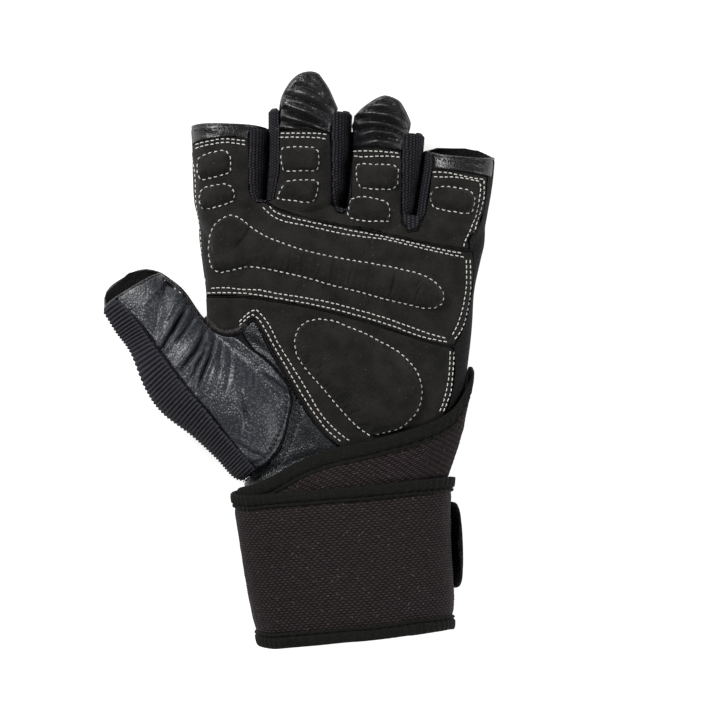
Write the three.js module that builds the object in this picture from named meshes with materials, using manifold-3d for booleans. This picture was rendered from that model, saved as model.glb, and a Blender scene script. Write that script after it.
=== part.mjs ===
// Weightlifting glove for the left hand, half fingered, lying palm up with its back on a flat surface.
// Suede palm panels with stitched foam pads, knitted finger walls, a leather thumb and two leather pull tabs,
// and a woven elastic wrist strap that goes round the wrist twice. Millimetres, +Z up, fingers towards +Y.
import * as THREE from "three";
import { mergeVertices } from "three/addons/utils/BufferGeometryUtils.js";
import Module from "manifold-3d";

const wasm = await Module();
wasm.setup();

// Driving dimensions
const gloveLength = 219; // lower edge of the wrist strap to the middle finger's tab
const gloveWidth = 149.5; // thumb opening to the little finger's outer side
const palmDepth = 38; // surface to the top of the palm, without pads
const fingerDepth = 28; // surface to the top of a finger at its middle
const wallThickness = 2.0; // suede, leather and knit walls with their backing
const padThickness = 2.0; // foam pad with the suede over it, proud of the palm
const patchGap = 0.35; // gap between neighbouring pieces
const strapWidth = 58; // woven elastic strap with its two bindings
const strapThickness = 1.8;
const bindingWidth = 7.5; // folded tape along each edge of the strap
const bindingThickness = 2.2;
const strapClearance = 0.6; // strap to glove, and turn to turn
const tapeGap = 0.7; // woven strap to the tape along its edge
const tabReach = 27; // length of the closing tab past the strap's end
const tabWidth = 33;
const tabStandOff = 1.6; // the tab's free end stands off the strap
const palmSeamHeight = 15; // above this the palm pieces, below it the back
const knitSeamHeight = 6; // lower edge of the knitted walls between the fingers
const thumbSeamHeight = 10; // lower edge of the thumb's knitted strip
const cavityOverrun = 12; // how far the hollow's cutter runs out of each opening

// Plan tables count in tracing units: PLAN.length of them make gloveLength and PLAN.width make gloveWidth.
// x grows to the right, y grows towards the wrist, and the plan's middle is the frame's origin.
const PLAN = { length: 576, width: 393.5, middleX: 299.2, middleY: 358.2 };
const planX = (x) => ((x - PLAN.middleX) / PLAN.width) * gloveWidth;
const planY = (y) => ((PLAN.middleY - y) / PLAN.length) * gloveLength;
const planPoint = ([x, y]) => new THREE.Vector2(planX(x), planY(y));
const strapLift = 2 * (strapClearance + bindingThickness); // the two turns of strap under the wrist

// Sections of the hand from the wrist to the finger roots: left and right are plan points of the outline,
// top is a share of the depth, lift a share of strapLift by which the back clears the surface.
const HAND = [
  { left: [270, 641], right: [440, 630], top: 1.06, lift: 1 },
  { left: [262, 600], right: [440, 592], top: 1.06, lift: 1 },
  { left: [254, 550], right: [438, 546], top: 1.04, lift: 1 },
  { left: [247, 508], right: [437, 505], top: 1.01, lift: 1 },
  { left: [243, 482], right: [440, 480], top: 1.0, lift: 1 },
  { left: [239, 462], right: [447, 462], top: 1.0, lift: 1 },
  { left: [230, 430], right: [457, 430], top: 1.0, lift: 1 },
  { left: [222, 395], right: [464, 395], top: 1.0, lift: 0.92 },
  { left: [214, 360], right: [469, 360], top: 1.0, lift: 0.5 },
  { left: [207, 322], right: [473, 322], top: 0.99, lift: 0 },
  { left: [205, 290], right: [475, 290], top: 0.97, lift: 0 },
  { left: [201, 260], right: [481, 262], top: 0.94, lift: 0 },
  { left: [198, 230], right: [485, 244], top: 0.87, lift: 0 },
  { left: [201, 194], right: [486, 223], top: 0.78, lift: 0 },
];
const INDEX = [
  { left: [190, 126], right: [268, 129], top: 0.9 },
  { left: [191, 150], right: [267, 150], top: 0.95 },
  { left: [192, 175], right: [265, 176], top: 1.02 },
  { left: [194, 205], right: [263, 207], top: 1.12 },
  { left: [198, 232], right: [262, 234], top: 1.18 },
  { left: [201, 262], right: [260, 262], top: 1.16 },
];
const MIDDLE = [
  { left: [270, 109], right: [350, 112], top: 0.9 },
  { left: [270, 135], right: [349, 137], top: 0.95 },
  { left: [269, 165], right: [347, 166], top: 1.02 },
  { left: [266, 205], right: [343, 212], top: 1.12 },
  { left: [264, 232], right: [341, 238], top: 1.18 },
  { left: [264, 262], right: [339, 262], top: 1.16 },
];
const RING = [
  { left: [352, 131], right: [423, 134], top: 0.9 },
  { left: [351, 155], right: [421, 157], top: 0.95 },
  { left: [349, 185], right: [417, 187], top: 1.02 },
  { left: [346, 215], right: [411, 224], top: 1.12 },
  { left: [344, 240], right: [409, 246], top: 1.18 },
  { left: [343, 266], right: [408, 268], top: 1.16 },
];
const LITTLE = [
  { left: [424, 151], right: [496, 158], top: 0.82 },
  { left: [421, 172], right: [493.5, 180], top: 0.88 },
  { left: [416, 200], right: [490, 206], top: 0.95 },
  { left: [413, 228], right: [486, 232], top: 1.04 },
  { left: [411, 250], right: [484, 252], top: 1.12 },
  { left: [410, 272], right: [479, 272], top: 1.12 },
];
const THUMB = [
  { left: [102.5, 309], right: [162, 273], top: 0.86, lift: 0.5 },
  { left: [116, 331], right: [182, 289], top: 0.95, lift: 0.4 },
  { left: [131, 352], right: [200, 314], top: 1.05, lift: 0.3 },
  { left: [146, 388], right: [213, 327], top: 1.18, lift: 0.2 },
  { left: [163, 412], right: [236, 340], top: 1.28, lift: 0.2 },
  { left: [192, 434], right: [262, 356], top: 1.37, lift: 0.3 },
  { left: [217, 457], right: [285, 385], top: 1.38, lift: 0.6 },
  { left: [236, 477], right: [292, 424], top: 1.33, lift: 1 },
  { left: [252, 478], right: [300, 450], top: 1.2, lift: 1 },
];

// Outlines of the palm side in plan units. Each one that meets its neighbour runs along the seam between them,
// and each that meets the back runs outside the glove, so that the seam lies at palmSeamHeight.
const UPPER_PANEL = [
  [184, 149], [192, 146.5], [215, 142], [232, 141], [249, 143], [250, 170], [250, 192], [256, 204],
  [264, 205], [276, 214], [292, 220], [320, 227], [360, 235], [400, 243], [440, 252], [472, 257],
  [472, 285], [467, 312], [460, 332], [452, 342], [438, 341], [405, 330], [365, 316], [325, 305],
  [285, 297], [250, 291], [225, 290], [196, 291],
];
const FINGER_PANEL = [
  [279, 136], [305, 135], [331, 138], [332, 175], [332, 203], [336, 213], [344, 215], [350, 207],
  [351, 180], [352, 155], [376, 154], [401, 156], [402, 190], [402, 222], [408, 233], [418, 231],
  [425, 214], [429, 190], [432, 171], [455, 174], [487, 180], [484, 205], [479, 224], [468, 240],
  [469, 255], [440, 250], [400, 241], [360, 233], [320, 225], [292, 218], [276, 212], [266, 203],
  [274, 199], [279, 165],
];
const LOWER_PANEL = [
  [196, 293], [225, 292], [250, 293], [285, 299], [325, 307], [365, 318], [405, 332], [438, 343],
  [453, 344], [454, 370], [450, 392], [444, 412], [438, 430], [430, 455], [372, 458], [345, 444],
  [322, 424], [303, 391], [286, 364], [272, 338], [262, 318], [254, 314], [246, 318], [238, 327],
  [222, 328], [206, 321], [196, 312],
];
const THUMB_PANEL = [
  [116, 303], [136, 290], [158, 269], [170, 283], [186, 297], [203, 322], [217, 333], [234, 337],
  [252, 352], [270, 365], [284, 375], [292, 392], [290, 412], [282, 436], [270, 456], [256, 467],
  [240, 450], [215, 418], [190, 389], [165, 356], [142, 325],
];
const GUSSET = [
  [240, 330], [254, 316], [261, 320], [271, 340], [285, 366], [302, 393], [321, 426], [344, 446],
  [352, 462], [300, 478], [262, 492], [240, 486], [248, 478], [257, 468], [271, 458], [284, 437],
  [292, 413], [294, 391], [286, 374], [271, 363], [253, 350],
];
const THUMB_STRIP = [
  [92, 310], [113, 296], [141, 326], [164, 357], [189, 390], [214, 419], [239, 451], [256, 469],
  [246, 479], [228, 490], [205, 468], [160, 428], [134, 392], [118, 350],
];
// The back is three pieces: round the thumb, the lining that goes down into the strap, and the rest
const THUMB_BACK = [
  [88, 305], [145, 250], [176, 258], [213, 324], [222, 370], [231, 420], [240, 470], [237, 494],
  [205, 482], [150, 430], [100, 350],
];
const WRIST_LINING = [[210, 502], [490, 496], [490, 668], [210, 668]];
const INDEX_BAND = [[184, 118], [249, 118], [249, 142], [232, 140], [215, 141], [192, 145.5], [184, 148]];
const LITTLE_BAND = [[433, 142], [490, 144], [505, 150], [502, 184], [487, 179], [455, 173], [433, 170]];
const MIDDLE_TAB = [
  [279, 135], [279, 108], [282, 96], [288, 85], [296, 76], [309, 71], [319, 74], [328, 88],
  [336, 103], [336, 116], [332, 128], [331, 137], [305, 134],
];
const RING_TAB = [
  [352, 154], [352, 121], [360, 110], [372, 101], [386, 95.5], [399, 100], [407, 113], [410, 126],
  [405, 140], [401, 155], [376, 153],
];
const KNIT_WALLS = {
  fourchette_index_middle: [[250, 112], [278, 96], [278, 165], [273, 199], [264, 204], [256, 203], [251, 190]],
  fourchette_middle_ring: [[333, 98], [351, 100], [351, 180], [349, 207], [343, 214], [337, 212], [333, 202]],
  fourchette_ring_little: [
    [402.5, 118], [432, 122], [431, 171], [428, 190], [424, 213], [417, 229], [409, 231], [403, 221],
  ],
};
const PADS = {
  palm_bar_pad: [
    [210, 243], [214, 228], [222, 220], [231, 217], [241, 220], [262, 235], [300, 250], [350, 261],
    [400, 270], [428, 279], [441, 291], [441, 303], [430, 308], [405, 304], [350, 290], [290, 274],
    [250, 267], [220, 273], [211, 262],
  ],
  palm_heel_pad: [
    [296, 342], [301, 327], [314, 320], [332, 322], [364, 334], [396, 352], [415, 371], [421, 393],
    [412, 414], [396, 424], [368, 431], [340, 408], [310, 373], [299, 358],
  ],
  index_pad_upper: [[199, 158], [227, 151], [230, 158], [230, 174], [200, 180]],
  index_pad_lower: [[201, 190], [222, 185], [233, 187], [234, 200], [226, 204], [202, 209]],
  middle_pad_upper: [[282, 149], [316, 149], [318, 155], [317, 171], [283, 171], [281, 160]],
  middle_pad_lower: [[283, 182], [317, 182], [316, 196], [312, 202], [277, 199]],
  ring_pad_upper: [[356, 165], [394, 166], [397, 171], [396, 186], [392, 189], [359, 187]],
  ring_pad_lower: [[352, 199], [375, 199], [388, 205], [389, 221], [375, 221], [349, 218]],
  little_pad: [[436, 188], [444, 187], [470, 191], [474, 198], [472, 212], [464, 212], [432, 208], [433, 194]],
};

// Path of the strap. turn counts half turns from the little finger's side over the palm to the thumb's side,
// then round the back. edge is the upper edge's plan y, and layer the share of a second layer's offset.
const STRAP = [
  { turn: -0.06, edge: 366, layer: 0 },
  { turn: 0, edge: 371, layer: 0 },
  { turn: 0.05, edge: 384, layer: 0 },
  { turn: 0.1, edge: 396, layer: 0 },
  { turn: 0.15, edge: 408, layer: 0 },
  { turn: 0.25, edge: 421, layer: 0 },
  { turn: 0.42, edge: 437, layer: 0 },
  { turn: 0.5, edge: 445, layer: 0 },
  { turn: 0.6, edge: 459, layer: 0 },
  { turn: 0.7, edge: 475, layer: 0 },
  { turn: 0.8, edge: 484, layer: 0 },
  { turn: 1, edge: 489, layer: 0 },
  { turn: 1.7, edge: 486, layer: 0 },
  { turn: 1.92, edge: 478, layer: 1 },
  { turn: 2.1, edge: 476, layer: 1 },
  { turn: 2.3, edge: 479, layer: 1 },
  { turn: 2.6, edge: 490, layer: 1 },
  { turn: 2.8, edge: 495, layer: 1 },
  { turn: 3, edge: 493, layer: 1 },
  { turn: 3.7, edge: 487, layer: 1 },
];
const strapSteps = 52;
const strapDivisions = 5; // corners across the strap, so that it follows the wrist's waist
const tapeDivisions = 3;

// Geometry helpers
const sectionCorners = 20;
const sectionPower = 2.4; // 2 would be an ellipse
const bluntness = 2 / sectionPower;
const blunt = (value) => Math.sign(value) * Math.abs(value) ** bluntness;

// A point of a tube's skin at an angle, moved outwards by offset, flattened where it lies on the surface.
function skinPoint(row, depth, angle, offset) {
  const left = planPoint(row.left);
  const right = planPoint(row.right);
  const across = right.clone().sub(left);
  const halfWidth = across.length() / 2 + offset;
  across.normalize();
  const floor = (row.lift ?? 0) * strapLift;
  const top = row.top * depth;
  const sag = 0.12 * (top - floor); // how much of the round underside the surface flattens
  const middle = (top + floor - sag) / 2;
  const halfHeight = (top - floor + sag) / 2 + offset;
  const centre = left.clone().add(right).multiplyScalar(0.5);
  const sideways = halfWidth * blunt(Math.cos(angle));
  const z = Math.max(floor - offset, middle + halfHeight * blunt(Math.sin(angle)));
  return new THREE.Vector3(centre.x + across.x * sideways, centre.y + across.y * sideways, z);
}

// A closed mesh from rings of points: neighbouring rings are joined and both ends are capped with a fan.
function skinOf(rings) {
  const count = rings[0].length;
  const points = rings.flat();
  const faces = [];
  for (let i = 0; i + 1 < rings.length; i++) {
    for (let k = 0; k < count; k++) {
      const a = i * count + k;
      const b = i * count + ((k + 1) % count);
      faces.push(a, b, a + count, b, b + count, a + count);
    }
  }
  for (const [first, flip] of [[0, false], [(rings.length - 1) * count, true]]) {
    const middle = new THREE.Vector3();
    for (let k = 0; k < count; k++) middle.addScaledVector(points[first + k], 1 / count);
    points.push(middle);
    for (let k = 0; k < count; k++) {
      const pair = [first + k, first + ((k + 1) % count)];
      faces.push(points.length - 1, ...(flip ? pair : pair.reverse()));
    }
  }
  return solidOf(points, faces);
}

function solidOf(points, faces) {
  const vertProperties = new Float32Array(points.flatMap((p) => [p.x, p.y, p.z]));
  const mesh = new wasm.Mesh({ numProp: 3, vertProperties, triVerts: new Uint32Array(faces) });
  const solid = new wasm.Manifold(mesh);
  if (solid.volume() > 0) return solid;
  for (let i = 0; i < faces.length; i += 3) [faces[i + 1], faces[i + 2]] = [faces[i + 2], faces[i + 1]];
  return new wasm.Manifold(new wasm.Mesh({ numProp: 3, vertProperties, triVerts: new Uint32Array(faces) }));
}

// A tube through its sections, with its skin moved outwards by offset, the closed last end too.
// reach lengthens it past its first section, to run out of an opening.
function tube(rows, depth, offset, reach = 0) {
  const rings = rows.map((row) =>
    Array.from({ length: sectionCorners }, (_, k) =>
      skinPoint(row, depth, (2 * Math.PI * k) / sectionCorners, offset),
    ),
  );
  const runTo = (end, next, distance) => {
    const run = planPoint(end.left).add(planPoint(end.right));
    return run.sub(planPoint(next.left)).sub(planPoint(next.right)).setLength(1).multiplyScalar(distance);
  };
  const moved = (ring, run) => ring.map((p) => new THREE.Vector3(p.x + run.x, p.y + run.y, p.z));
  rings.push(moved(rings.pop(), runTo(rows.at(-1), rows.at(-2), offset)));
  if (reach) rings.unshift(moved(rings[0], runTo(rows[0], rows[1], reach)));
  return skinOf(rings);
}

const FINGERS = { index: INDEX, middle: MIDDLE, ring: RING, little: LITTLE };

// The whole hand with its skin moved outwards by offset. Both reaches lengthen the tubes at their openings.
function handForm(offset, fingerReach = 0, wristReach = 0) {
  let form = tube(HAND, palmDepth, offset, wristReach);
  for (const rows of Object.values(FINGERS)) form = form.add(tube(rows, fingerDepth, offset, fingerReach));
  return form.add(tube(THUMB, fingerDepth, offset, fingerReach));
}

// An upright prism over a plan outline, grown sideways and downwards by grow.
function prism(outline, base, grow = 0) {
  const corners = outline.map(planPoint);
  if (THREE.ShapeUtils.area(corners) < 0) corners.reverse();
  const grown = corners.map((corner, i) => {
    const before = corners[(i + corners.length - 1) % corners.length];
    const after = corners[(i + 1) % corners.length];
    const run = after.clone().sub(before).normalize();
    return new THREE.Vector2(corner.x + run.y * grow, corner.y - run.x * grow);
  });
  const geometry = new THREE.ExtrudeGeometry(new THREE.Shape(grown), { depth: 2 * palmDepth, bevelEnabled: false });
  geometry.translate(0, 0, base - grow);
  return fromGeometry(geometry);
}

function fromGeometry(geometry, weld = 1e-4) {
  geometry.deleteAttribute("normal");
  geometry.deleteAttribute("uv");
  const merged = mergeVertices(geometry, weld);
  const vertProperties = merged.attributes.position.array;
  return new wasm.Manifold(new wasm.Mesh({ numProp: 3, vertProperties, triVerts: new Uint32Array(merged.index.array) }));
}

// The largest body of a solid, without the crumbs that a cut leaves beside it. Corners closer than
// weldDistance become one first, because a crumb can hang on by a sliver thinner than that.
const weldDistance = 0.05;
function mainBody(solid) {
  const largest = (whole) => whole.decompose().sort((a, b) => b.volume() - a.volume())[0];
  return largest(fromGeometry(toGeometry(largest(solid)), weldDistance));
}

function toGeometry(solid) {
  const { numProp, vertProperties, triVerts } = solid.getMesh();
  const positions = new Float32Array((vertProperties.length / numProp) * 3);
  for (let i = 0; i < positions.length / 3; i++) {
    positions.set(vertProperties.subarray(i * numProp, i * numProp + 3), i * 3);
  }
  const geometry = new THREE.BufferGeometry();
  geometry.setAttribute("position", new THREE.BufferAttribute(positions, 3));
  geometry.setIndex(new THREE.BufferAttribute(new Uint32Array(triVerts), 1));
  return geometry;
}

// Materials
const material = (color, roughness) => new THREE.MeshStandardMaterial({ color, roughness, metalness: 0 });
const suede = material(0x26241f, 0.95);
const padSuede = material(0x2b2925, 0.95);
const leather = material(0x23252a, 0.5);
const knit = material(0x17171b, 0.9);
const backKnit = material(0x1b1b1d, 0.9);
const webbing = material(0x241f1f, 0.95);
const tape = material(0x1c1b19, 0.9);

const glove = new THREE.Group();
function addPiece(name, solid, finish) {
  const geometry = toGeometry(solid);
  geometry.computeVertexNormals();
  const piece = new THREE.Mesh(geometry, finish);
  piece.name = name;
  glove.add(piece);
}

// Walls of the glove: one hollow shell, shared out between the sewn pieces
const hollow = handForm(-wallThickness, cavityOverrun, cavityOverrun);
let shell = handForm(0).subtract(hollow);

// Pull tabs: the fingers' palm side, carried on past the opening and drooping a little
function tabTube(rows, offset) {
  const tip = { ...rows[0], top: rows[0].top * 0.84 };
  const run = [0, 1].map((axis) => (rows[0].left[axis] - rows[2].left[axis]) * 0.9);
  tip.left = [tip.left[0] + run[0], tip.left[1] + run[1]];
  tip.right = [tip.right[0] + run[0], tip.right[1] + run[1]];
  return tube([tip, ...rows.slice(0, 3)], fingerDepth, offset);
}
for (const [name, rows, outline] of [["middle_pull_tab", MIDDLE, MIDDLE_TAB], ["ring_pull_tab", RING, RING_TAB]]) {
  const wall = tabTube(rows, 0).subtract(tabTube(rows, -wallThickness));
  addPiece(name, mainBody(wall.intersect(prism(outline, palmSeamHeight))), leather);
  shell = shell.subtract(prism(outline, palmSeamHeight, patchGap));
}

// Each sewn piece takes its share of the shell, and the next ones keep a gap to it
function sewn(name, outline, base, finish) {
  addPiece(name, mainBody(shell.intersect(prism(outline, base))), finish);
  shell = shell.subtract(prism(outline, base, patchGap));
}
sewn("upper_palm_panel", UPPER_PANEL, palmSeamHeight, suede);
sewn("finger_panel", FINGER_PANEL, palmSeamHeight, suede);
sewn("lower_palm_panel", LOWER_PANEL, palmSeamHeight, suede);
sewn("index_tip_band", INDEX_BAND, palmSeamHeight, leather);
sewn("little_tip_band", LITTLE_BAND, palmSeamHeight, leather);
sewn("thumb_panel", THUMB_PANEL, palmSeamHeight, leather);
sewn("thumb_gusset", GUSSET, palmSeamHeight, leather);
sewn("thumb_knit_strip", THUMB_STRIP, thumbSeamHeight, knit);
for (const [name, outline] of Object.entries(KNIT_WALLS)) sewn(name, outline, knitSeamHeight, knit);
sewn("thumb_back", THUMB_BACK, -patchGap, backKnit);
sewn("wrist_lining", WRIST_LINING, -patchGap, backKnit);
addPiece("back_panel", mainBody(shell), backKnit);

// Foam pads on the palm and the fingers
const padLayer = handForm(patchGap + padThickness).subtract(handForm(patchGap));
for (const [name, outline] of Object.entries(PADS)) {
  addPiece(name, mainBody(padLayer.intersect(prism(outline, palmSeamHeight))), padSuede);
}

// The two rows of a table on either side of the first one that is past the wanted place
function neighbours(rows, isPast) {
  const found = rows.findIndex(isPast);
  const after = found < 0 ? rows.length - 1 : Math.max(1, found);
  return [rows[after - 1], rows[after]];
}

// The hand's section at a plan y, between the table's rows
function handRow(y) {
  const rowY = (row) => (row.left[1] + row.right[1]) / 2;
  const [low, high] = neighbours(HAND, (row) => rowY(row) <= y);
  const share = THREE.MathUtils.clamp((y - rowY(low)) / (rowY(high) - rowY(low)), -0.5, 1);
  const mix = (a, b) => a + (b - a) * share;
  return {
    left: [mix(low.left[0], high.left[0]), y],
    right: [mix(low.right[0], high.right[0]), y],
    top: mix(low.top, high.top),
    lift: mix(low.lift, high.lift),
  };
}

// The strap's path at a turn, between the table's rows
function strapAt(turn) {
  const [low, high] = neighbours(STRAP, (row) => row.turn >= turn);
  const share = THREE.MathUtils.clamp((turn - low.turn) / (high.turn - low.turn), 0, 1);
  return { edge: low.edge + (high.edge - low.edge) * share, layer: low.layer + (high.layer - low.layer) * share };
}

const layerPitch = strapClearance + bindingThickness;
const planUnitsPerMm = PLAN.length / gloveLength;

// A band along the strap's path between two distances from its upper edge, built as rings across the band
function strapBand(fromTurn, toTurn, steps, across, nearAt, farAt, lift, thickness) {
  const rings = [];
  for (let i = 0; i <= steps; i++) {
    const turn = fromTurn + ((toTurn - fromTurn) * i) / steps;
    const share = i / steps;
    const { edge, layer } = strapAt(turn);
    const base = strapClearance + layer * layerPitch + lift(share);
    const near = nearAt(share);
    const far = farAt(share);
    const ring = [];
    for (const side of [0, 1]) {
      for (let k = 0; k < across; k++) {
        const step = (side ? across - 1 - k : k) / (across - 1);
        const row = handRow(edge + (near + (far - near) * step) * planUnitsPerMm);
        ring.push(skinPoint(row, palmDepth, turn * Math.PI, base + side * thickness));
      }
    }
    rings.push(ring);
  }
  return skinOf(rings);
}

// Wrist strap and its two bindings
const strapStart = STRAP[0].turn;
const strapEnd = STRAP[STRAP.length - 1].turn;
const flat = () => 0;
const tapeEdge = bindingWidth + tapeGap;
const strapBody = [() => tapeEdge, () => strapWidth - tapeEdge, flat, strapThickness];
const upperTape = [flat, () => bindingWidth, flat, bindingThickness];
const lowerTape = [() => strapWidth - bindingWidth, () => strapWidth, flat, bindingThickness];
addPiece("wrist_strap", strapBand(strapStart, strapEnd, strapSteps, strapDivisions, ...strapBody), webbing);
addPiece("strap_upper_binding", strapBand(strapStart, strapEnd, strapSteps, tapeDivisions, ...upperTape), tape);
addPiece("strap_lower_binding", strapBand(strapStart, strapEnd, strapSteps, tapeDivisions, ...lowerTape), tape);

// The turn that lies a distance along the wrist past another turn
function turnAfter(turn, distance) {
  const step = 0.01;
  const row = handRow(strapAt(turn).edge + tabMiddle * planUnitsPerMm);
  const at = (place) => skinPoint(row, palmDepth, place * Math.PI, 0);
  for (let gone = 0; gone < distance; turn += step) gone += at(turn).distanceTo(at(turn + step));
  return turn;
}

// Closing tab: runs on from the strap's end round the little finger's side, its round end standing off
const tabSteps = 12;
const tabMiddle = strapWidth * 0.44;
const tabStart = strapEnd + 0.015;
const tabEnd = turnAfter(tabStart, tabReach);
const tabHalf = (share) => (tabWidth / 2) * Math.sqrt(1 - 0.96 * Math.max(0, (share - 0.55) / 0.45) ** 2);
const tabLift = (share) => (layerPitch + tabStandOff) * THREE.MathUtils.smoothstep(share, 0.1, 0.62);
addPiece(
  "closing_tab",
  strapBand(
    tabStart,
    tabEnd,
    tabSteps,
    tapeDivisions,
    (share) => tabMiddle - tabHalf(share),
    (share) => tabMiddle + tabHalf(share),
    tabLift,
    strapThickness,
  ),
  tape,
);

export default glove;
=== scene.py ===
# Half-fingered weightlifting glove for the left hand, lying palm up and seen from straight above.
# The scene goes through the glove in the order in which it is sewn. Plan points are counted in tracing
# units, x to the little finger's side and y to the wrist. Shapes are made in millimetres, then set in metres.
import math

import bmesh
import bpy
import numpy as np
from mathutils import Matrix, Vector, noise
from mathutils.bvhtree import BVHTree
from mathutils.geometry import delaunay_2d_cdt


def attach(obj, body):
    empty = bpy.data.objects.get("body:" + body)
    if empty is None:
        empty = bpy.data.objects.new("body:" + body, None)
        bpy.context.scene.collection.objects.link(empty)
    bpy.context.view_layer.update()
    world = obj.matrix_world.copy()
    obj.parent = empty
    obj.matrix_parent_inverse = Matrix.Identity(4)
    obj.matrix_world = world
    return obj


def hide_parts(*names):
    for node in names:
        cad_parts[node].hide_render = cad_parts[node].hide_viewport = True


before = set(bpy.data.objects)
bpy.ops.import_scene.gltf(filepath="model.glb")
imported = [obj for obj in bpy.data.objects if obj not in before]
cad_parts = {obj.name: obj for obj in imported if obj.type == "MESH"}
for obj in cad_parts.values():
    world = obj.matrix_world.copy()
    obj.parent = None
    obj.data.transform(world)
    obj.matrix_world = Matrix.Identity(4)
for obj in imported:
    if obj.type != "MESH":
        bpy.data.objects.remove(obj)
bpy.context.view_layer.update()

# Hand form: every sewn piece is a share of one skin over a half-closed hand, 2 mm thick.
# Palm and wrist, four fingers and the thumb are tubes through flattened sections, grown together.
GLOVE_LENGTH = 219.0
GLOVE_WIDTH = 149.5
PALM_DEPTH = 38.0
FINGER_DEPTH = 28.0
WALL = 2.0
LIP = 1.35
STRAP_CLEARANCE = 0.6
TAPE_THICKNESS = 2.2
LAYER_PITCH = STRAP_CLEARANCE + TAPE_THICKNESS
UNITS = {"length": 576.0, "width": 393.5, "middle_x": 299.2, "middle_y": 358.2}
UNIT_MM = GLOVE_LENGTH / UNITS["length"]

# Each section: left x, y, right x, y, top as a share of the depth, lift off the floor as a share of
# two layers of strap
HAND = np.array([
    [270, 641, 440, 630, 1.06, 1], [262, 600, 440, 592, 1.06, 1], [254, 550, 438, 546, 1.04, 1],
    [247, 508, 437, 505, 1.01, 1], [243, 482, 440, 480, 1.0, 1], [239, 462, 447, 462, 1.0, 1],
    [230, 430, 457, 430, 1.0, 1], [222, 395, 464, 395, 1.0, 0.92], [214, 360, 469, 360, 1.0, 0.5],
    [207, 322, 473, 322, 0.99, 0], [205, 290, 475, 290, 0.97, 0], [201, 260, 481, 262, 0.94, 0],
    [198, 230, 485, 244, 0.87, 0], [201, 194, 486, 223, 0.78, 0],
], float)
INDEX = np.array([
    [190, 126, 268, 129, 0.9, 0], [191, 150, 267, 150, 0.95, 0], [192, 175, 265, 176, 1.02, 0],
    [194, 205, 263, 207, 1.12, 0], [202, 232, 260, 234, 1.14, 0], [216, 262, 252, 262, 1.0, 0],
], float)
MIDDLE = np.array([
    [270, 109, 350, 112, 0.9, 0], [270, 135, 349, 137, 0.95, 0], [269, 165, 347, 166, 1.02, 0],
    [266, 205, 343, 212, 1.12, 0], [264, 232, 341, 238, 1.18, 0], [264, 262, 339, 262, 1.16, 0],
], float)
RING = np.array([
    [352, 131, 423, 134, 0.9, 0], [351, 155, 421, 157, 0.95, 0], [349, 185, 417, 187, 1.02, 0],
    [346, 215, 411, 224, 1.12, 0], [344, 240, 409, 246, 1.18, 0], [343, 266, 408, 268, 1.16, 0],
], float)
LITTLE = np.array([
    [424, 151, 496, 158, 0.82, 0], [421, 172, 493.5, 180, 0.88, 0], [416, 200, 490, 206, 0.95, 0],
    [413, 228, 484, 232, 1.04, 0], [413, 250, 475, 252, 1.06, 0], [414, 272, 462, 272, 1.0, 0],
], float)
THUMB = np.array([
    [102.5, 309, 162, 273, 0.86, 0.5], [116, 331, 182, 289, 0.95, 0.4], [131, 352, 200, 314, 1.05, 0.3],
    [146, 388, 213, 327, 1.18, 0.2], [163, 412, 236, 340, 1.28, 0.2], [192, 434, 262, 356, 1.37, 0.3],
    [217, 457, 285, 385, 1.38, 0.6], [236, 477, 292, 424, 1.33, 1], [252, 478, 300, 450, 1.2, 1],
], float)
# How far the palm side and the back of each opening bulge past a straight end, in millimetres
MOUTHS = {"index": (0.9, 0.6), "middle": (0, 0), "ring": (0, 0), "little": (-1.3, 2.2), "thumb": (0.9, 6.4)}
# What smoothing takes off the palm side and the back of an opening
ROUNDING_LOSS = (0.4, 1.5)
FINGERS = {"index": INDEX, "middle": MIDDLE, "ring": RING, "little": LITTLE}
SECTION_POWER = 2.4
SAG = 0.12
ROW_STEPS = 6
SKIN_VOXEL = 0.8
LINING_VOXEL = 1.1


def plan(points):
    """Plan points in tracing units as millimetres in the frame."""
    points = np.asarray(points, float)
    x = (points[..., 0] - UNITS["middle_x"]) * GLOVE_WIDTH / UNITS["width"]
    y = (UNITS["middle_y"] - points[..., 1]) * GLOVE_LENGTH / UNITS["length"]
    return np.stack([x, y], -1)


def eased(table, steps):
    """A table's rows with a smooth run of rows between them."""
    padded = np.vstack([2 * table[0] - table[1], table, 2 * table[-1] - table[-2]])
    rows = []
    for i in range(len(table) - 1):
        a, b, c, d = padded[i:i + 4]
        for t in np.arange(steps) / steps:
            rows.append(0.5 * (2 * b + (c - a) * t + (2 * a - 5 * b + 4 * c - d) * t ** 2
                               + (3 * b - a - 3 * c + d) * t ** 3))
    return np.array(rows + [table[-1]])


def blunt(value, power=2 / SECTION_POWER):
    """A sine or cosine for a flattened section, squarer than a circle."""
    return np.sign(value) * np.abs(value) ** power


def circle(count):
    """Even angles once round."""
    return np.linspace(0, 2 * np.pi, count + 1)[:-1]


def unit(run):
    return run / np.linalg.norm(run, axis=-1, keepdims=True)


def section_point(row, depth, angle, offset):
    """Points of a section's skin at some angles, moved outwards by offset, and flat on the floor."""
    left, right = plan(row[0:2]), plan(row[2:4])
    across = right - left
    half_width = np.linalg.norm(across) / 2 + offset
    floor = row[5] * 2 * LAYER_PITCH
    top = row[4] * depth
    sag = SAG * (top - floor)
    middle = (top + floor - sag) / 2
    half_height = (top - floor + sag) / 2 + offset
    sideways = half_width * blunt(np.cos(angle))
    flat = (left + right) / 2 + np.multiply.outer(sideways, unit(across))
    z = np.maximum(floor - offset, middle + half_height * blunt(np.sin(angle)))
    return np.concatenate([flat, z[..., None]], -1)


def linked(name, data):
    """A new object in the scene, of a mesh, a lamp or a camera."""
    thing = bpy.data.objects.new(name, data)
    bpy.context.scene.collection.objects.link(thing)
    return thing


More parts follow.
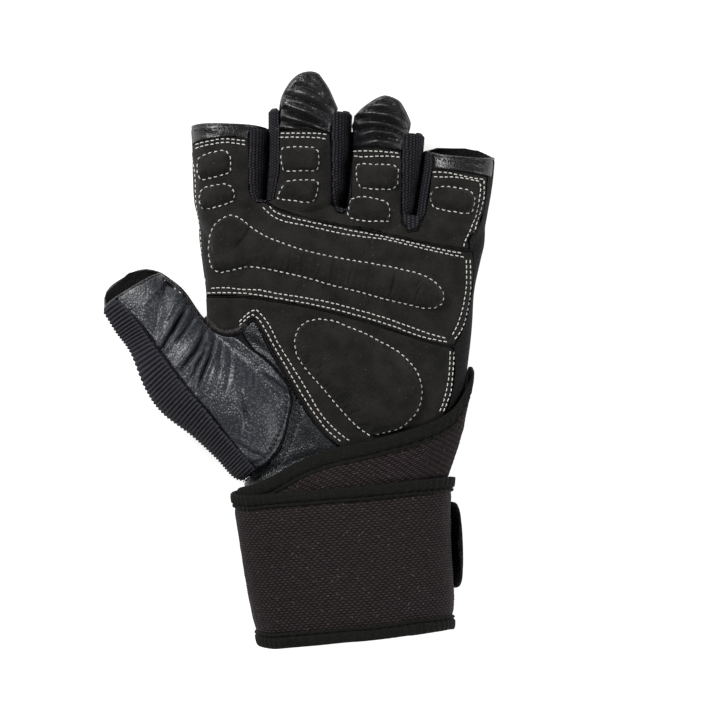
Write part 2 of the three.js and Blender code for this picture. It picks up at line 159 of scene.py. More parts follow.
def mesh_object(points, faces):
    """A mesh object from points in millimetres; it gets its name and its metres when it is finished."""
    mesh = bpy.data.meshes.new("cloth")
    mesh.from_pydata([tuple(p) for p in np.asarray(points, float)], [], [tuple(f) for f in faces])
    mesh.validate()
    return linked("cloth", mesh)


def ring_faces(rings, count, closed=True):
    """Quads between neighbouring rings of count points each."""
    faces = []
    for i in range(rings - 1):
        for k in range(count if closed else count - 1):
            a, b = i * count + k, i * count + (k + 1) % count
            faces.append((a, b, b + count, a + count))
    return faces


def capped(rings, count):
    """The faces of a closed tube: quads between its rings and a cap on each end."""
    last = (rings - 1) * count
    return ring_faces(rings, count) + [tuple(range(count))[::-1], tuple(range(last, last + count))]


def bulging(mouth, angles):
    """How far an opening bulges at some angles, from its palm side round to its back."""
    under = np.clip(0.5 - 1.5 * np.sin(angles), 0, 1)
    return (mouth[0] + (mouth[1] - mouth[0]) * under) * (1 - np.abs(np.cos(angles)) ** 3)


def tube_rings(table, depth, offset, mouth=(0, 0), lip=None, corners=72):
    """Rings of a tube's skin from its opening inwards; the opening's two sides bulge by mouth, and the
    offset runs from lip at the opening to its full value one row on."""
    angles = circle(corners)
    rows = eased(table, ROW_STEPS)
    offsets = np.full(len(rows), float(offset))
    if lip is not None:
        offsets[:ROW_STEPS] = lip + (offset - lip) * np.arange(ROW_STEPS) / ROW_STEPS
    rings = np.array([section_point(row, depth, angles, part) for row, part in zip(rows, offsets)])
    middles = plan((rows[:, 0:2] + rows[:, 2:4]) / 2)
    outwards = unit(middles[0] - middles[ROW_STEPS])
    inwards = unit(middles[-1] - middles[-1 - ROW_STEPS])
    bulge = bulging(mouth, angles)
    for i in range(ROW_STEPS):
        rings[i][:, :2] += np.multiply.outer(bulge * (1 - i / ROW_STEPS), outwards)
    return rings, outwards, inwards


def hand_tube(table, depth, offset, reach=0.0, mouth=(0, 0), lip=None):
    """A closed tube. reach runs it straight out of its opening."""
    rings, outwards, inwards = tube_rings(table, depth, offset, mouth, lip)
    rings[-1][:, :2] += inwards * offset
    if reach:
        run_out = rings[:1].copy()
        run_out[..., :2] += outwards * reach
        rings = np.vstack([run_out, rings])
    return mesh_object(np.vstack(rings), capped(len(rings), rings.shape[1]))


def joined(pieces):
    """One object from several."""
    mesh = bmesh.new()
    for piece in pieces:
        mesh.from_mesh(piece.data)
        bpy.data.objects.remove(piece)
    data = bpy.data.meshes.new("cloth")
    mesh.to_mesh(data)
    mesh.free()
    return linked("cloth", data)


def applied(piece, **kinds):
    """The piece with modifiers added and applied, each given as KIND=(settings)."""
    for kind, settings in kinds.items():
        modifier = piece.modifiers.new(kind, kind)
        for key, value in settings.items():
            setattr(modifier, key, value)
    bpy.context.view_layer.update()
    evaluated = piece.evaluated_get(bpy.context.evaluated_depsgraph_get())
    mesh = bpy.data.meshes.new_from_object(evaluated)
    piece.modifiers.clear()
    old = piece.data
    piece.data = mesh
    bpy.data.meshes.remove(old)
    return piece


def hand_form(offset, voxel, reach=0.0, mouths=False, lip=None):
    """The whole hand as one smooth closed skin, whose openings bulge where mouths are asked for."""
    tubes = [hand_tube(HAND, PALM_DEPTH, offset, reach)]
    for finger, table in {**FINGERS, "thumb": THUMB}.items():
        mouth = np.add(MOUTHS[finger], ROUNDING_LOSS) if mouths else (0, 0)
        tubes.append(hand_tube(table, FINGER_DEPTH, offset, reach, mouth, lip))
    form = joined(tubes)
    applied(form, REMESH={"mode": "VOXEL", "voxel_size": voxel, "use_smooth_shade": True})
    return applied(form, SMOOTH={"factor": 0.5, "iterations": 8})


def cut(piece, tool, operation):
    """Cuts a closed piece with a closed tool."""
    return applied(piece, BOOLEAN={"operation": operation, "solver": "MANIFOLD", "object": tool})


skin = hand_form(0.0, SKIN_VOXEL, mouths=True)
lining = hand_form(-WALL, LINING_VOXEL, reach=12.0, lip=-LIP)
shell = cut(skin, lining, "DIFFERENCE")
whole_skin = hand_form(0.0, SKIN_VOXEL)
skin_tree = BVHTree.FromObject(whole_skin, bpy.context.evaluated_depsgraph_get())

# Palm panels: three panels of synthetic suede, cut out flat, laid edge over edge and topstitched with
# two rows of thick pale thread. The upper one carries on up the front of the index finger.
SEAM_HEIGHT = 15.0
SEAM_GAP = 0.08
EDGE_TUCK = 0.45
CURVE_STEP, CORNER_ANGLE = 1.5, 38.0
UPPER_PANEL = [
    (184, 147), (190, 144.5), (203, 140.5), (215, 139), (232, 138), (249, 140), (250, 170), (250, 192),
    (256, 203), (264, 202.5), (276, 209.5), (292, 215.5), (320, 222.5), (360, 230), (400, 238.5),
    (440, 247), (473, 252), (473, 285), (468, 312), (462, 332), (454, 346), (438, 344), (405, 334),
    (365, 321), (325, 310.5), (285, 302.5), (250, 297), (225, 296), (196, 296),
]
FINGER_PANEL = [
    (279, 131), (305, 130.5), (331, 133.5), (332, 175), (332, 203), (336, 213), (344, 215), (350, 207),
    (351, 180), (352, 149), (376, 148.5), (402, 151.5), (402, 190), (402, 222), (408, 233), (418, 231),
    (425, 214), (429, 190), (432, 168.5), (455, 171), (488, 176.5), (485, 205), (480, 224), (469, 240),
    (470, 250), (440, 245.5), (400, 237), (360, 228.5), (320, 221), (292, 214), (276, 208), (266, 201.5),
    (274, 199), (279, 165),
]
LOWER_PANEL = [
    (196, 297.5), (225, 297.5), (250, 298.5), (285, 304), (325, 312), (365, 322.5), (405, 335.5),
    (438, 345.5), (454, 347.5), (455, 370), (452, 392), (446, 412), (438, 430), (430, 455), (372, 458),
    (341, 447), (326, 433), (313, 417.5), (303, 402), (293, 385), (283, 368), (272, 349), (263.5, 332),
    (257, 321.5), (253, 318.5), (248, 322), (241, 329), (236, 331), (222, 330), (206, 322), (196, 312),
]
PALM_STITCHES = {
    "upper_palm_panel": [
        [(190, 146), (205, 142), (225, 139.5), (247, 141.5)],
        [(190, 150), (200, 147), (215, 144), (228, 143), (247, 145.5)],
        [(192, 158), (195, 175), (196, 200), (199, 225), (201, 240), (202, 262), (206, 285)],
        [(263, 208), (272, 216), (285, 222), (310, 227), (335, 233), (360, 237), (385, 240), (410, 246),
         (435, 252), (466, 258)],
        [(466, 260), (466, 285), (463, 305), (457, 325), (450, 338)],
        [(470, 260), (470, 290), (467, 310), (461, 330), (454, 340)],
        [(206, 289), (225, 288), (245, 290), (260, 290.5), (275, 293.5), (300, 297.5), (330, 303),
         (360, 311), (390, 320), (420, 331), (440, 337), (450, 339)],
    ],
    "finger_panel": [
        [(281, 133.5), (320, 134), (330, 135.5)],
        [(280, 137.5), (315, 138), (329, 140)],
        [(353, 151), (375, 151.5), (400, 153.5)],
        [(354, 156), (365, 157), (385, 156.5), (400, 157.5)],
        [(433, 172), (445, 172.5), (458, 175), (472, 178), (484, 179.5), (484, 195), (482, 205), (480, 212),
         (477, 222), (474, 231), (468, 243)],
        [(434, 177), (455, 177.5), (470, 179.5), (479, 181.5), (480.5, 185), (479.5, 197), (477, 210),
         (474, 220), (469, 232), (464, 243), (463, 248)],
        [(266, 203), (275, 212), (290, 218), (310, 222.5), (335, 228), (360, 233), (385, 237.5),
         (410, 243), (435, 249), (465, 254)],
    ],
    "lower_palm_panel": [
        [(207, 293), (240, 293.5), (260, 295.5), (280, 299), (300, 302.5), (330, 308.5), (360, 316.5),
         (390, 325.5), (420, 336.5), (440, 341), (450, 343)],
        [(450, 346), (449, 370), (447, 385), (443, 402), (438, 414)],
        [(453.5, 346), (452.5, 370), (450.5, 390), (446, 404), (442, 414)],
        [(240, 322), (247, 315), (252, 311.5), (257, 310), (263, 316), (270, 326), (278, 342), (290, 362),
         (300, 378), (310, 395), (320, 412), (332, 426), (345, 437), (351, 441)],
        [(240, 326), (247, 319), (253, 315), (259, 319), (266, 330), (275, 347), (286, 366), (296, 383),
         (306, 400), (316, 415), (328, 430), (341, 441)],
    ],
}
STITCH_PITCH = 2.05
STITCH_LENGTH = 1.4
STITCH_RADIUS = 0.21
STITCH_STEP, STITCH_SLIP = 0.1, 0.07
# Along a stitch: how far along, how high it rides over the cloth in millimetres, and its girth as a share
STITCH_SHAPE = ((0, -0.25, 0.55), (0.12, 0.1, 0.85), (0.35, 0.22, 1), (0.65, 0.22, 1), (0.88, 0.1, 0.85),
                (1, -0.25, 0.55))
SUEDE_DARK = (0.0052, 0.0049, 0.0046, 1)
SUEDE_LIGHT = (0.0203, 0.0191, 0.0178, 1)
THREAD_COLOUR = (0.78, 0.77, 0.73, 1)


def curve_through(points, closed=False):
    """A line through plan points, smooth but for real corners, in tracing units."""
    points = np.asarray(points, float)
    count = len(points)
    before = np.roll(points, 1, 0) if closed else np.vstack([2 * points[0] - points[1], points[:-1]])
    after = np.roll(points, -1, 0) if closed else np.vstack([points[1:], 2 * points[-1] - points[-2]])
    into, out = points - before, after - points
    turn = np.abs((np.arctan2(out[:, 1], out[:, 0]) - np.arctan2(into[:, 1], into[:, 0]) + np.pi)
                  % (2 * np.pi) - np.pi)
    sharp = turn > math.radians(CORNER_ANGLE)
    line = []

    def heading(i):
        return (into[i] + out[i]) / (np.linalg.norm(into[i]) + np.linalg.norm(out[i]))

    for i in range(count if closed else count - 1):
        j = (i + 1) % count
        run = points[j] - points[i]
        length = np.linalg.norm(run)
        near = run if sharp[i] else heading(i) * length
        far = run if sharp[j] else heading(j) * length
        steps = max(1, int(length / CURVE_STEP))
        for t in np.arange(steps) / steps:
            line.append((2 * t ** 3 - 3 * t ** 2 + 1) * points[i] + (t ** 3 - 2 * t ** 2 + t) * near
                        + (3 * t ** 2 - 2 * t ** 3) * points[j] + (t ** 3 - t ** 2) * far)
    return np.array(line if closed else line + [points[-1]])


def signed_area(corners):
    """Twice the area inside a closed line, above 0 where it runs anticlockwise."""
    after = np.roll(corners, -1, 0)
    return np.sum(corners[:, 0] * after[:, 1] - corners[:, 1] * after[:, 0])


def grown(line, distance):
    """A closed line in millimetres moved outwards."""
    run = np.roll(line, -1, 0) - np.roll(line, 1, 0)
    run /= np.linalg.norm(run, axis=1)[:, None] + 1e-9
    return line + np.stack([run[:, 1], -run[:, 0]], -1) * (distance if signed_area(line) > 0 else -distance)


def prism(line, base, grow=0.0):
    """An upright closed tool over a closed plan line in millimetres, from base to well above the glove."""
    line = grown(line if signed_area(line) > 0 else line[::-1], grow)
    mesh = bmesh.new()
    floor = mesh.faces.new([mesh.verts.new((x, y, base - grow)) for x, y in line])
    top = bmesh.ops.extrude_face_region(mesh, geom=[floor])["geom"]
    for vertex in top:
        if isinstance(vertex, bmesh.types.BMVert):
            vertex.co.z = 2 * PALM_DEPTH
    bmesh.ops.triangulate(mesh, faces=mesh.faces[:])
    bmesh.ops.recalc_face_normals(mesh, faces=mesh.faces[:])
    data = bpy.data.meshes.new("tool")
    mesh.to_mesh(data)
    mesh.free()
    return linked("tool", data)


def copied(piece):
    """A second object with the same shape."""
    return linked("cloth", piece.data.copy())


def cut_out(outline, base=SEAM_HEIGHT, cloth=None):
    """Cuts a sewn piece out of the shell, or out of other cloth over it, and leaves a narrow gap round it."""
    line = plan(curve_through(outline, closed=True))
    tool = prism(line, base)
    piece = cut(cloth or copied(shell), tool, "INTERSECT")
    wide_tool = prism(line, base, SEAM_GAP)
    cut(shell, wide_tool, "DIFFERENCE")
    bpy.data.objects.remove(tool)
    bpy.data.objects.remove(wide_tool)
    return largest_part(piece)


def largest_part(piece):
    """Drops the crumbs that a cut leaves beside a piece, and closes hairline edges."""
    mesh = bmesh.new()
    mesh.from_mesh(piece.data)
    bmesh.ops.remove_doubles(mesh, verts=mesh.verts[:], dist=0.02)
    mesh.verts.ensure_lookup_table()
    seen = np.zeros(len(mesh.verts), int)
    groups = []
    for start in mesh.verts:
        if seen[start.index]:
            continue
        group, stack = [], [start]
        seen[start.index] = 1
        while stack:
            vertex = stack.pop()
            group.append(vertex)
            for edge in vertex.link_edges:
                other = edge.other_vert(vertex)
                if not seen[other.index]:
                    seen[other.index] = 1
                    stack.append(other)
        groups.append(group)
    groups.sort(key=len, reverse=True)
    bmesh.ops.delete(mesh, geom=[v for group in groups[1:] for v in group], context="VERTS")
    mesh.to_mesh(piece.data)
    mesh.free()
    return piece


def read_points(piece):
    count = len(piece.data.vertices)
    points, normals = np.empty(count * 3), np.empty(count * 3)
    piece.data.vertices.foreach_get("co", points)
    piece.data.vertices.foreach_get("normal", normals)
    return points.reshape(-1, 3), normals.reshape(-1, 3)


def write_points(piece, points):
    piece.data.vertices.foreach_set("co", np.ascontiguousarray(points, dtype=np.float32).ravel())
    piece.data.update()


def on_outside(points, tree, reach=0.12):
    """Which points lie on the glove's outer skin."""
    return np.array([tree.find_nearest(Vector(p))[3] < reach for p in points])


def to_line(flat, line, closed=False):
    """Distance of plan points to a line in millimetres, and how far along it the nearest place is, 0 to 1."""
    ends = np.roll(line, -1, 0) if closed else line[1:]
    starts = line if closed else line[:-1]
    lengths = np.linalg.norm(ends - starts, axis=1)
    travelled = np.concatenate([[0], np.cumsum(lengths)])
    best = np.full(len(flat), 1e9)
    along = np.zeros(len(flat))
    for a, b, length, start in zip(starts, ends, lengths, travelled):
        if length < 1e-6:
            continue
        t = np.clip(((flat - a) @ (b - a)) / length ** 2, 0, 1)
        gap = np.linalg.norm(flat - (a + t[:, None] * (b - a)), axis=1)
        nearer = gap < best
        best[nearer] = gap[nearer]
        along[nearer] = (start + t[nearer] * length) / travelled[-1]
    return best, along


def slow_noise(points, size, seed):
    """Smooth noise about 0 over points, with lumps of about size millimetres."""
    shift = Vector((seed * 7.3, seed * 3.1, seed * 5.7))
    return np.array([noise.noise(Vector(p) / size + shift) for p in points])


def modelled(piece, outline, lines=(), rounding=1.0, groove=0.3, lumps=0.35, seed=1, extra=None):
    """Works a cut piece's outer side: edges tucked in, a groove along each row of stitches, slight lumps."""
    points, normals = read_points(piece)
    outside = on_outside(points, skin_tree)
    flat, top = points[outside][:, :2], points[outside]
    edge, _ = to_line(flat, plan(curve_through(outline, closed=True)), closed=True)
    seam = np.where(top[:, 2] < SEAM_HEIGHT + 1.5, np.minimum(edge, top[:, 2] - SEAM_HEIGHT), edge)
    share = np.clip(1 - seam / rounding, 0, 1)
    rise = -EDGE_TUCK * (1 - np.sqrt(1 - share ** 2 * 0.98))
    for line in lines:
        gap, _ = to_line(flat, plan(curve_through(line)))
        rise -= groove * np.exp(-(gap / 0.8) ** 2)
    rise += lumps * slow_noise(top, 14.0, seed) + 0.4 * lumps * slow_noise(top, 5.0, seed + 1)
    if extra:
        rise += extra(top)
    points[outside] += normals[outside] * rise[:, None]
    write_points(piece, points)
    return piece


def tree_of(*pieces):
    """A search tree over pieces that are still in millimetres."""
    points, faces, start = [], [], 0
    for piece in pieces:
        points += [v.co.copy() for v in piece.data.vertices]
        faces += [[start + i for i in face.vertices] for face in piece.data.polygons]
        start = len(points)
    return BVHTree.FromPolygons(points, faces)


def seat(tree, x, y):
    """The highest place of the cloth at a plan point, and which way it faces."""
    place, facing, _, _ = tree.ray_cast(Vector((x, y, 3 * PALM_DEPTH)), Vector((0, 0, -1)))
    return place, facing


def spaced(line, pitch):
    """Places along a line at an even pitch."""
    lengths = np.linalg.norm(np.diff(line, axis=0), axis=1)
    travelled = np.concatenate([[0], np.cumsum(lengths)])
    at = np.arange(0, travelled[-1], pitch)
    return np.stack([np.interp(at, travelled, line[:, k]) for k in range(line.shape[1])], -1)


def stitches(lines, tree, pitch=STITCH_PITCH, length=STITCH_LENGTH, radius=STITCH_RADIUS):
    """Rows of thread along plan lines: each stitch rises out of the cloth and dives back into it."""
    chance = np.random.default_rng(3)
    points, faces = [], []
    around = circle(6)
    for line in lines:
        fine = spaced(plan(curve_through(line)), STITCH_STEP)
        steps = max(2, int(round(pitch / STITCH_STEP)))
        span = int(round(length / STITCH_STEP))
        for start in range(0, len(fine) - span, steps):
            slip = chance.uniform(-STITCH_SLIP, STITCH_SLIP, 2)
            centres = []
            for share, lift, _ in STITCH_SHAPE:
                x, y = fine[start + int(share * span)] + slip
                place, facing = seat(tree, x, y)
                if place is None:
                    break
                centres.append(place + facing * (lift * radius / STITCH_RADIUS))
            if len(centres) < len(STITCH_SHAPE):
                continue
            run = (centres[-1] - centres[0]).normalized()
            side = run.cross(facing).normalized()
            up = side.cross(run)
            first = len(points)
            for centre, (_, _, girth) in zip(centres, STITCH_SHAPE):
                for turn in around:
                    points.append(centre + (side * math.cos(turn) + up * math.sin(turn)) * radius * girth)
            faces += [tuple(first + i for i in face) for face in capped(len(STITCH_SHAPE), len(around))]
    return mesh_object(points, faces)


def effect(name, inputs, outputs):
    """A shader node group with its own inputs and outputs; the caller fills it in."""
    group = bpy.data.node_groups.new(name, "ShaderNodeTree")
    for label, kind, value in inputs:
        socket = group.interface.new_socket(label, in_out="INPUT", socket_type=kind)
        socket.default_value = value
    for label, kind in outputs:
        group.interface.new_socket(label, in_out="OUTPUT", socket_type=kind)
    return group, group.nodes.new("NodeGroupInput"), group.nodes.new("NodeGroupOutput")


def node(tree, kind, links=(), **settings):
    """A shader node with its settings; links are (input, socket) pairs or (input, value) pairs."""
    made = tree.nodes.new("ShaderNode" + kind)
    for key, value in settings.items():
        setattr(made, key, value)
    for key, source in links:
        if isinstance(source, bpy.types.NodeSocket):
            tree.links.new(source, made.inputs[key])
        else:
            made.inputs[key].default_value = source
    return made


def maths(tree, operation, *values):
    """The result of one sum; each value is a number or a socket."""
    return node(tree, "Math", enumerate(values), operation=operation).outputs[0]


def ranged(tree, value, low, high, to_low=0.0, to_high=1.0):
    """A value's place between low and high, carried over to between two other values."""
    return node(tree, "MapRange", [(0, value), (1, low), (2, high), (3, to_low), (4, to_high)]).outputs[0]


def blended(tree, share, first, second):
    """A colour between two others."""
    return node(tree, "Mix", [(0, share), (6, first), (7, second)], data_type="RGBA").outputs[2]


def noisy(tree, place, scale, detail=2.0):
    """Smooth noise over places, from 0 to 1."""
    return node(tree, "TexNoise", [("Vector", place), ("Scale", scale), ("Detail", detail)]).outputs[0]


def sent(group, out, **results):
    """Joins what an effect works out to its outputs."""
    for key, socket in results.items():
        group.links.new(socket, out.inputs[key])
    return group


FLOAT, COLOUR, VECTOR = "NodeSocketFloat", "NodeSocketColor", "NodeSocketVector"
BLACK = (0, 0, 0, 1)
TONES = [("Deep", COLOUR, BLACK), ("Pale", COLOUR, BLACK)]
RESULTS = [("Colour", COLOUR), ("Height", FLOAT)]
MM_PER_METRE = 1000.0
SHARP_ANGLE = 55.0


def make_nap():
    """Short brushed fibres: two tones in small clouds and a fine fuzzy height."""
    group, given, out = effect(
        "Brushed nap", TONES + [("Fibre Size", FLOAT, 0.3), ("Cloud Size", FLOAT, 9.0)],
        RESULTS + [("Roughness", FLOAT)])
    place = node(group, "TexCoord").outputs["Object"]
    fibre = noisy(group, place, maths(group, "DIVIDE", MM_PER_METRE, given.outputs["Fibre Size"]), 3.0)
    cloud = noisy(group, place, maths(group, "DIVIDE", MM_PER_METRE, given.outputs["Cloud Size"]), 4.0)
    share = ranged(group, maths(group, "ADD", fibre, cloud), 0.72, 1.3)
    tone = blended(group, share, given.outputs["Deep"], given.outputs["Pale"])
    return sent(group, out, Colour=tone, Height=fibre, Roughness=ranged(group, cloud, 0.0, 1.0, 0.82, 0.98))


def make_lint():
    """A few pale specks of lint caught on dark cloth."""
    group, given, out = effect(
        "Lint specks",
        [("Cloth", COLOUR, BLACK), ("Lint", COLOUR, (0.2, 0.17, 0.13, 1)), ("Spacing", FLOAT, 3.0),
         ("Speck", FLOAT, 0.1)],
        [("Colour", COLOUR)])
    scale = maths(group, "DIVIDE", MM_PER_METRE, given.outputs["Spacing"])
    place = node(group, "TexCoord").outputs["Object"]
    cells = node(group, "TexVoronoi", [("Vector", place), ("Scale", scale)])
    hit = maths(group, "LESS_THAN", cells.outputs["Distance"], given.outputs["Speck"])
    draw = node(group, "SeparateColor", [(0, cells.outputs["Color"])]).outputs[0]
    chosen = maths(group, "GREATER_THAN", draw, 0.55)
    soft = maths(group, "MULTIPLY", maths(group, "MULTIPLY", hit, chosen), 0.6)
    return sent(group, out, Colour=blended(group, soft, given.outputs["Cloth"], given.outputs["Lint"]))


def make_twist():
    """Twisted thread: two tones and a fine unevenness."""
    group, given, out = effect("Twisted thread", TONES, RESULTS)
    twist = noisy(group, node(group, "TexCoord").outputs["Object"], 2600.0)
    tone = blended(group, twist, given.outputs["Deep"], given.outputs["Pale"])
    return sent(group, out, Colour=tone, Height=twist)


def new_material(name):
    material = bpy.data.materials.new(name)
    material.use_nodes = True
    tree = material.node_tree
    return material, tree, tree.nodes["Principled BSDF"]


def placed(tree, group, **values):
    """Places an effect in a material; underscores in names stand for spaces."""
    made = tree.nodes.new("ShaderNodeGroup")
    made.node_tree = group
    for key, value in values.items():
        key = key.replace("_", " ")
        if isinstance(value, bpy.types.NodeSocket):
            tree.links.new(value, made.inputs[key])
        else:
            made.inputs[key].default_value = value
    return made


nap, lint, twist = make_nap(), make_lint(), make_twist()


def cloth_material(name, work, relief, gloss, rough=None, specks=None, mapped=False, **values):
    """Cloth, leather or thread: one effect gives its colour and relief, and lint specks may lie on it. mapped
    lays the effect out on the piece's cloth map."""
    material, tree, shader = new_material(name)
    if mapped:
        values["Place"] = node(tree, "UVMap", uv_map="cloth").outputs[0]
    worked = placed(tree, work, **values)
    colour = worked.outputs["Colour"]
    if specks:
        colour = placed(tree, lint, Cloth=colour, **specks).outputs["Colour"]
    tree.links.new(colour, shader.inputs["Base Color"])
    if rough is None:
        tree.links.new(worked.outputs["Roughness"], shader.inputs["Roughness"])
    else:
        shader.inputs["Roughness"].default_value = rough
    shader.inputs["Specular IOR Level"].default_value = gloss
    if relief:
        bump = node(tree, "Bump", [("Height", worked.outputs["Height"]), ("Distance", relief)])
        tree.links.new(bump.outputs[0], shader.inputs["Normal"])
    return material


def suede_material(name):
    specks = {"Lint": (0.075, 0.07, 0.06, 1), "Spacing": 2.6, "Speck": 0.09}
    material = cloth_material(name, nap, 0.0002, 0.12, specks=specks, Deep=SUEDE_DARK, Pale=SUEDE_LIGHT,
                              Fibre_Size=0.45, Cloud_Size=7.0)
    shader = material.node_tree.nodes["Principled BSDF"]
    shader.inputs["Sheen Weight"].default_value = 0.05
    shader.inputs["Sheen Roughness"].default_value = 0.5
    return material


suede = suede_material("suede")
thread = cloth_material("pale_thread", twist, 0.0001, 0.5, 0.7, Deep=(0.5, 0.49, 0.46, 1), Pale=THREAD_COLOUR)


def finished(piece, name, material, nodes=()):
    """Sets a piece in metres, gives it its material and fastens it to the glove."""
    piece.name = name
    points, _ = read_points(piece)
    write_points(piece, points / MM_PER_METRE)
    piece.data.materials.clear()
    piece.data.materials.append(material)
    piece.data.shade_smooth()
    piece.data.set_sharp_from_angle(angle=math.radians(SHARP_ANGLE))
    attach(piece, "root")
    if nodes:
        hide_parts(*nodes)
    return piece


# Folds at the finger roots: the line, how deep and how wide in millimetres
FINGER_ROOTS = [
    ([(274, 203), (287, 209), (305, 212), (322, 210), (334, 203)], 1.6, 1.3),
    ([(347, 221), (362, 228), (385, 230), (400, 224)], 1.5, 1.3),
    ([(430, 216), (450, 221), (472, 222), (486, 216)], 1.1, 1.4),
    ([(205, 216), (222, 214), (242, 209), (256, 206)], 0.6, 1.6),
]


def folds(creases):
    """Height over the skin of a set of creases, each with a soft ridge on either side."""
    def height(points):
        rise = np.zeros(len(points))
        for line, deep, wide in creases:
            gap, along = to_line(points[:, :2], plan(curve_through(line)))
            fade = np.sqrt(np.clip(np.sin(np.pi * np.clip(along, 0.02, 0.98)), 0, 1))
            ridge = 0.35 * np.exp(-((gap - 2.0 * wide) / wide) ** 2)
            rise += fade * deep * (ridge - np.exp(-1.3 * gap / wide))
        return rise
    return height


palm_outlines = {"upper_palm_panel": UPPER_PANEL, "finger_panel": FINGER_PANEL,
                 "lower_palm_panel": LOWER_PANEL}
palm_panels = {}
for number, (name, outline) in enumerate(palm_outlines.items()):
    palm_panels[name] = modelled(cut_out(outline), outline, PALM_STITCHES[name], seed=number + 2,
                                 extra=folds(FINGER_ROOTS))
palm_tree = tree_of(*palm_panels.values())
palm_thread = stitches([line for rows in PALM_STITCHES.values() for line in rows], palm_tree)
for name, panel in palm_panels.items():
    finished(panel, name + "_suede", suede, [name])
finished(palm_thread, "palm_stitching", thread)

# Leather ends: a pull tab on the middle and on the ring finger, each a soft padded loop of leather that the
# other hand pulls the glove off by, and a narrow turned band at the index and the little finger's opening.
LEATHER_ENDS = {
    "middle_pull_tab": [
        (279, 130), (279, 108), (281, 97), (286, 87), (292, 79), (300, 73), (310, 71), (318, 73), (323, 79),
        (329, 88), (334, 99), (338, 108), (335, 118), (332, 127), (331, 132.5), (305, 129.5)],
    "ring_pull_tab": [
        (352, 148), (351, 121), (358, 111), (365, 105), (371, 101), (378, 97), (385, 95), (393, 97),
        (400, 101), (404, 107), (408, 115), (411, 124), (407, 138), (402, 150.5), (376, 147.5)],
    "index_tip_band": [
        (184, 112), (249, 112), (249, 139), (232, 137), (215, 138), (203, 139.5), (190, 143.5), (184, 146)],
    "little_tip_band": [
        (433, 142), (490, 144), (505, 150), (502, 181), (488, 175.5), (455, 170), (433, 167.5)],
}
TAB_FINGERS = {"middle_pull_tab": MIDDLE, "ring_pull_tab": RING}
TAB_RUN_OUT, TAB_DROOP = 0.9, 0.84
TAB_ROUNDING, TAB_TUCK = 2.4, 1.5
LEATHER_STITCHES = {
    "middle_pull_tab": [[(283.5, 107), (286, 97), (291, 88), (298, 80), (305, 76), (312, 75.5), (318, 79),
                         (324, 88), (329, 98), (333, 108)]],
    "ring_pull_tab": [[(357, 120), (362, 113), (370, 106), (380, 101.5), (390, 101), (397, 105),
                       (401, 112), (405, 124)]],
    "index_tip_band": [[(193, 130), (210, 129), (230, 128), (247, 129)]],
    "little_tip_band": [[(438, 159), (450, 161), (470, 162), (488, 161)]],
}
# Soft folds across each tab: the line, how deep and how wide in millimetres
TAB_FOLDS = {
    "middle_pull_tab": [
        ([(279, 108), (294, 113), (311, 120), (329, 129)], 2.0, 1.0),
        ([(281, 95), (298, 98), (315, 105), (333, 115)], 1.4, 1.0),
        ([(279, 121), (302, 127), (324, 131)], 1.8, 0.9),
        ([(288, 103), (306, 108), (322, 116)], 0.9, 0.8),
        ([(294, 85), (308, 88), (320, 95)], 0.7, 0.9)],
    "ring_pull_tab": [
        ([(353, 119), (372, 118), (390, 122), (408, 129)], 2.0, 1.0),
        ([(355, 131), (374, 127.5), (394, 131), (406, 137)], 1.8, 0.9),
        ([(357, 143), (376, 137), (398, 140)], 1.6, 0.9),
        ([(363, 111), (380, 110), (398, 114)], 1.1, 0.9), ([(370, 102), (384, 102), (396, 106)], 0.7, 0.8)],
    "index_tip_band": [([(190, 136), (215, 133), (247, 134)], 0.4, 1.2)],
    "little_tip_band": [([(436, 163), (460, 165), (490, 169)], 0.4, 1.2)],
}


def make_grain():
    """Pebbled leather: small rounded cells with darker valleys, and slow clouds of wear."""
    group, given, out = effect(
        "Pebble grain", TONES + [("Pebble Size", FLOAT, 1.0)], RESULTS + [("Roughness", FLOAT)])
    place = node(group, "TexCoord").outputs["Object"]
    scale = maths(group, "DIVIDE", MM_PER_METRE, given.outputs["Pebble Size"])
    drift = node(group, "TexNoise", [("Vector", place), ("Scale", 320.0), ("Detail", 2.0)])
    shifted = node(group, "VectorMath", [(0, drift.outputs["Color"]), ("Scale", 0.0004)], operation="SCALE")
    wander = node(group, "VectorMath", [(0, place), (1, shifted.outputs[0])], operation="ADD")
    cells = node(group, "TexVoronoi", [("Vector", wander.outputs[0]), ("Scale", scale), ("Smoothness", 0.2)],
                 feature="SMOOTH_F1")
    pebble = ranged(group, cells.outputs["Distance"], 0.12, 0.62, 1.0, 0.0)
    cloud = noisy(group, place, 110.0)
    share = ranged(group, maths(group, "MULTIPLY", pebble, cloud), 0.05, 0.55)
    tone = blended(group, share, given.outputs["Deep"], given.outputs["Pale"])
    return sent(group, out, Colour=tone, Height=pebble, Roughness=ranged(group, cloud, 0.3, 0.7, 0.37, 0.43))


grain = make_grain()


def leather_material(name, deep, pale, pebble, relief, gloss):
    return cloth_material(name, grain, relief, gloss, Deep=deep, Pale=pale, Pebble_Size=pebble)


black_leather = leather_material(
    "black_leather", (0.004, 0.004, 0.0048, 1), (0.0085, 0.0085, 0.0105, 1), 0.7, 0.00008, 0.55)
dark_thread = cloth_material("dark_thread", twist, 0.0, 0.3, 0.6, Deep=(0.004, 0.004, 0.004, 1),
                             Pale=(0.018, 0.018, 0.02, 1))


def refined(piece):
    """The same piece in smaller faces, for sharp creases."""
    return applied(piece, TRIANGULATE={}, SUBSURF={"subdivision_type": "SIMPLE", "levels": 1})


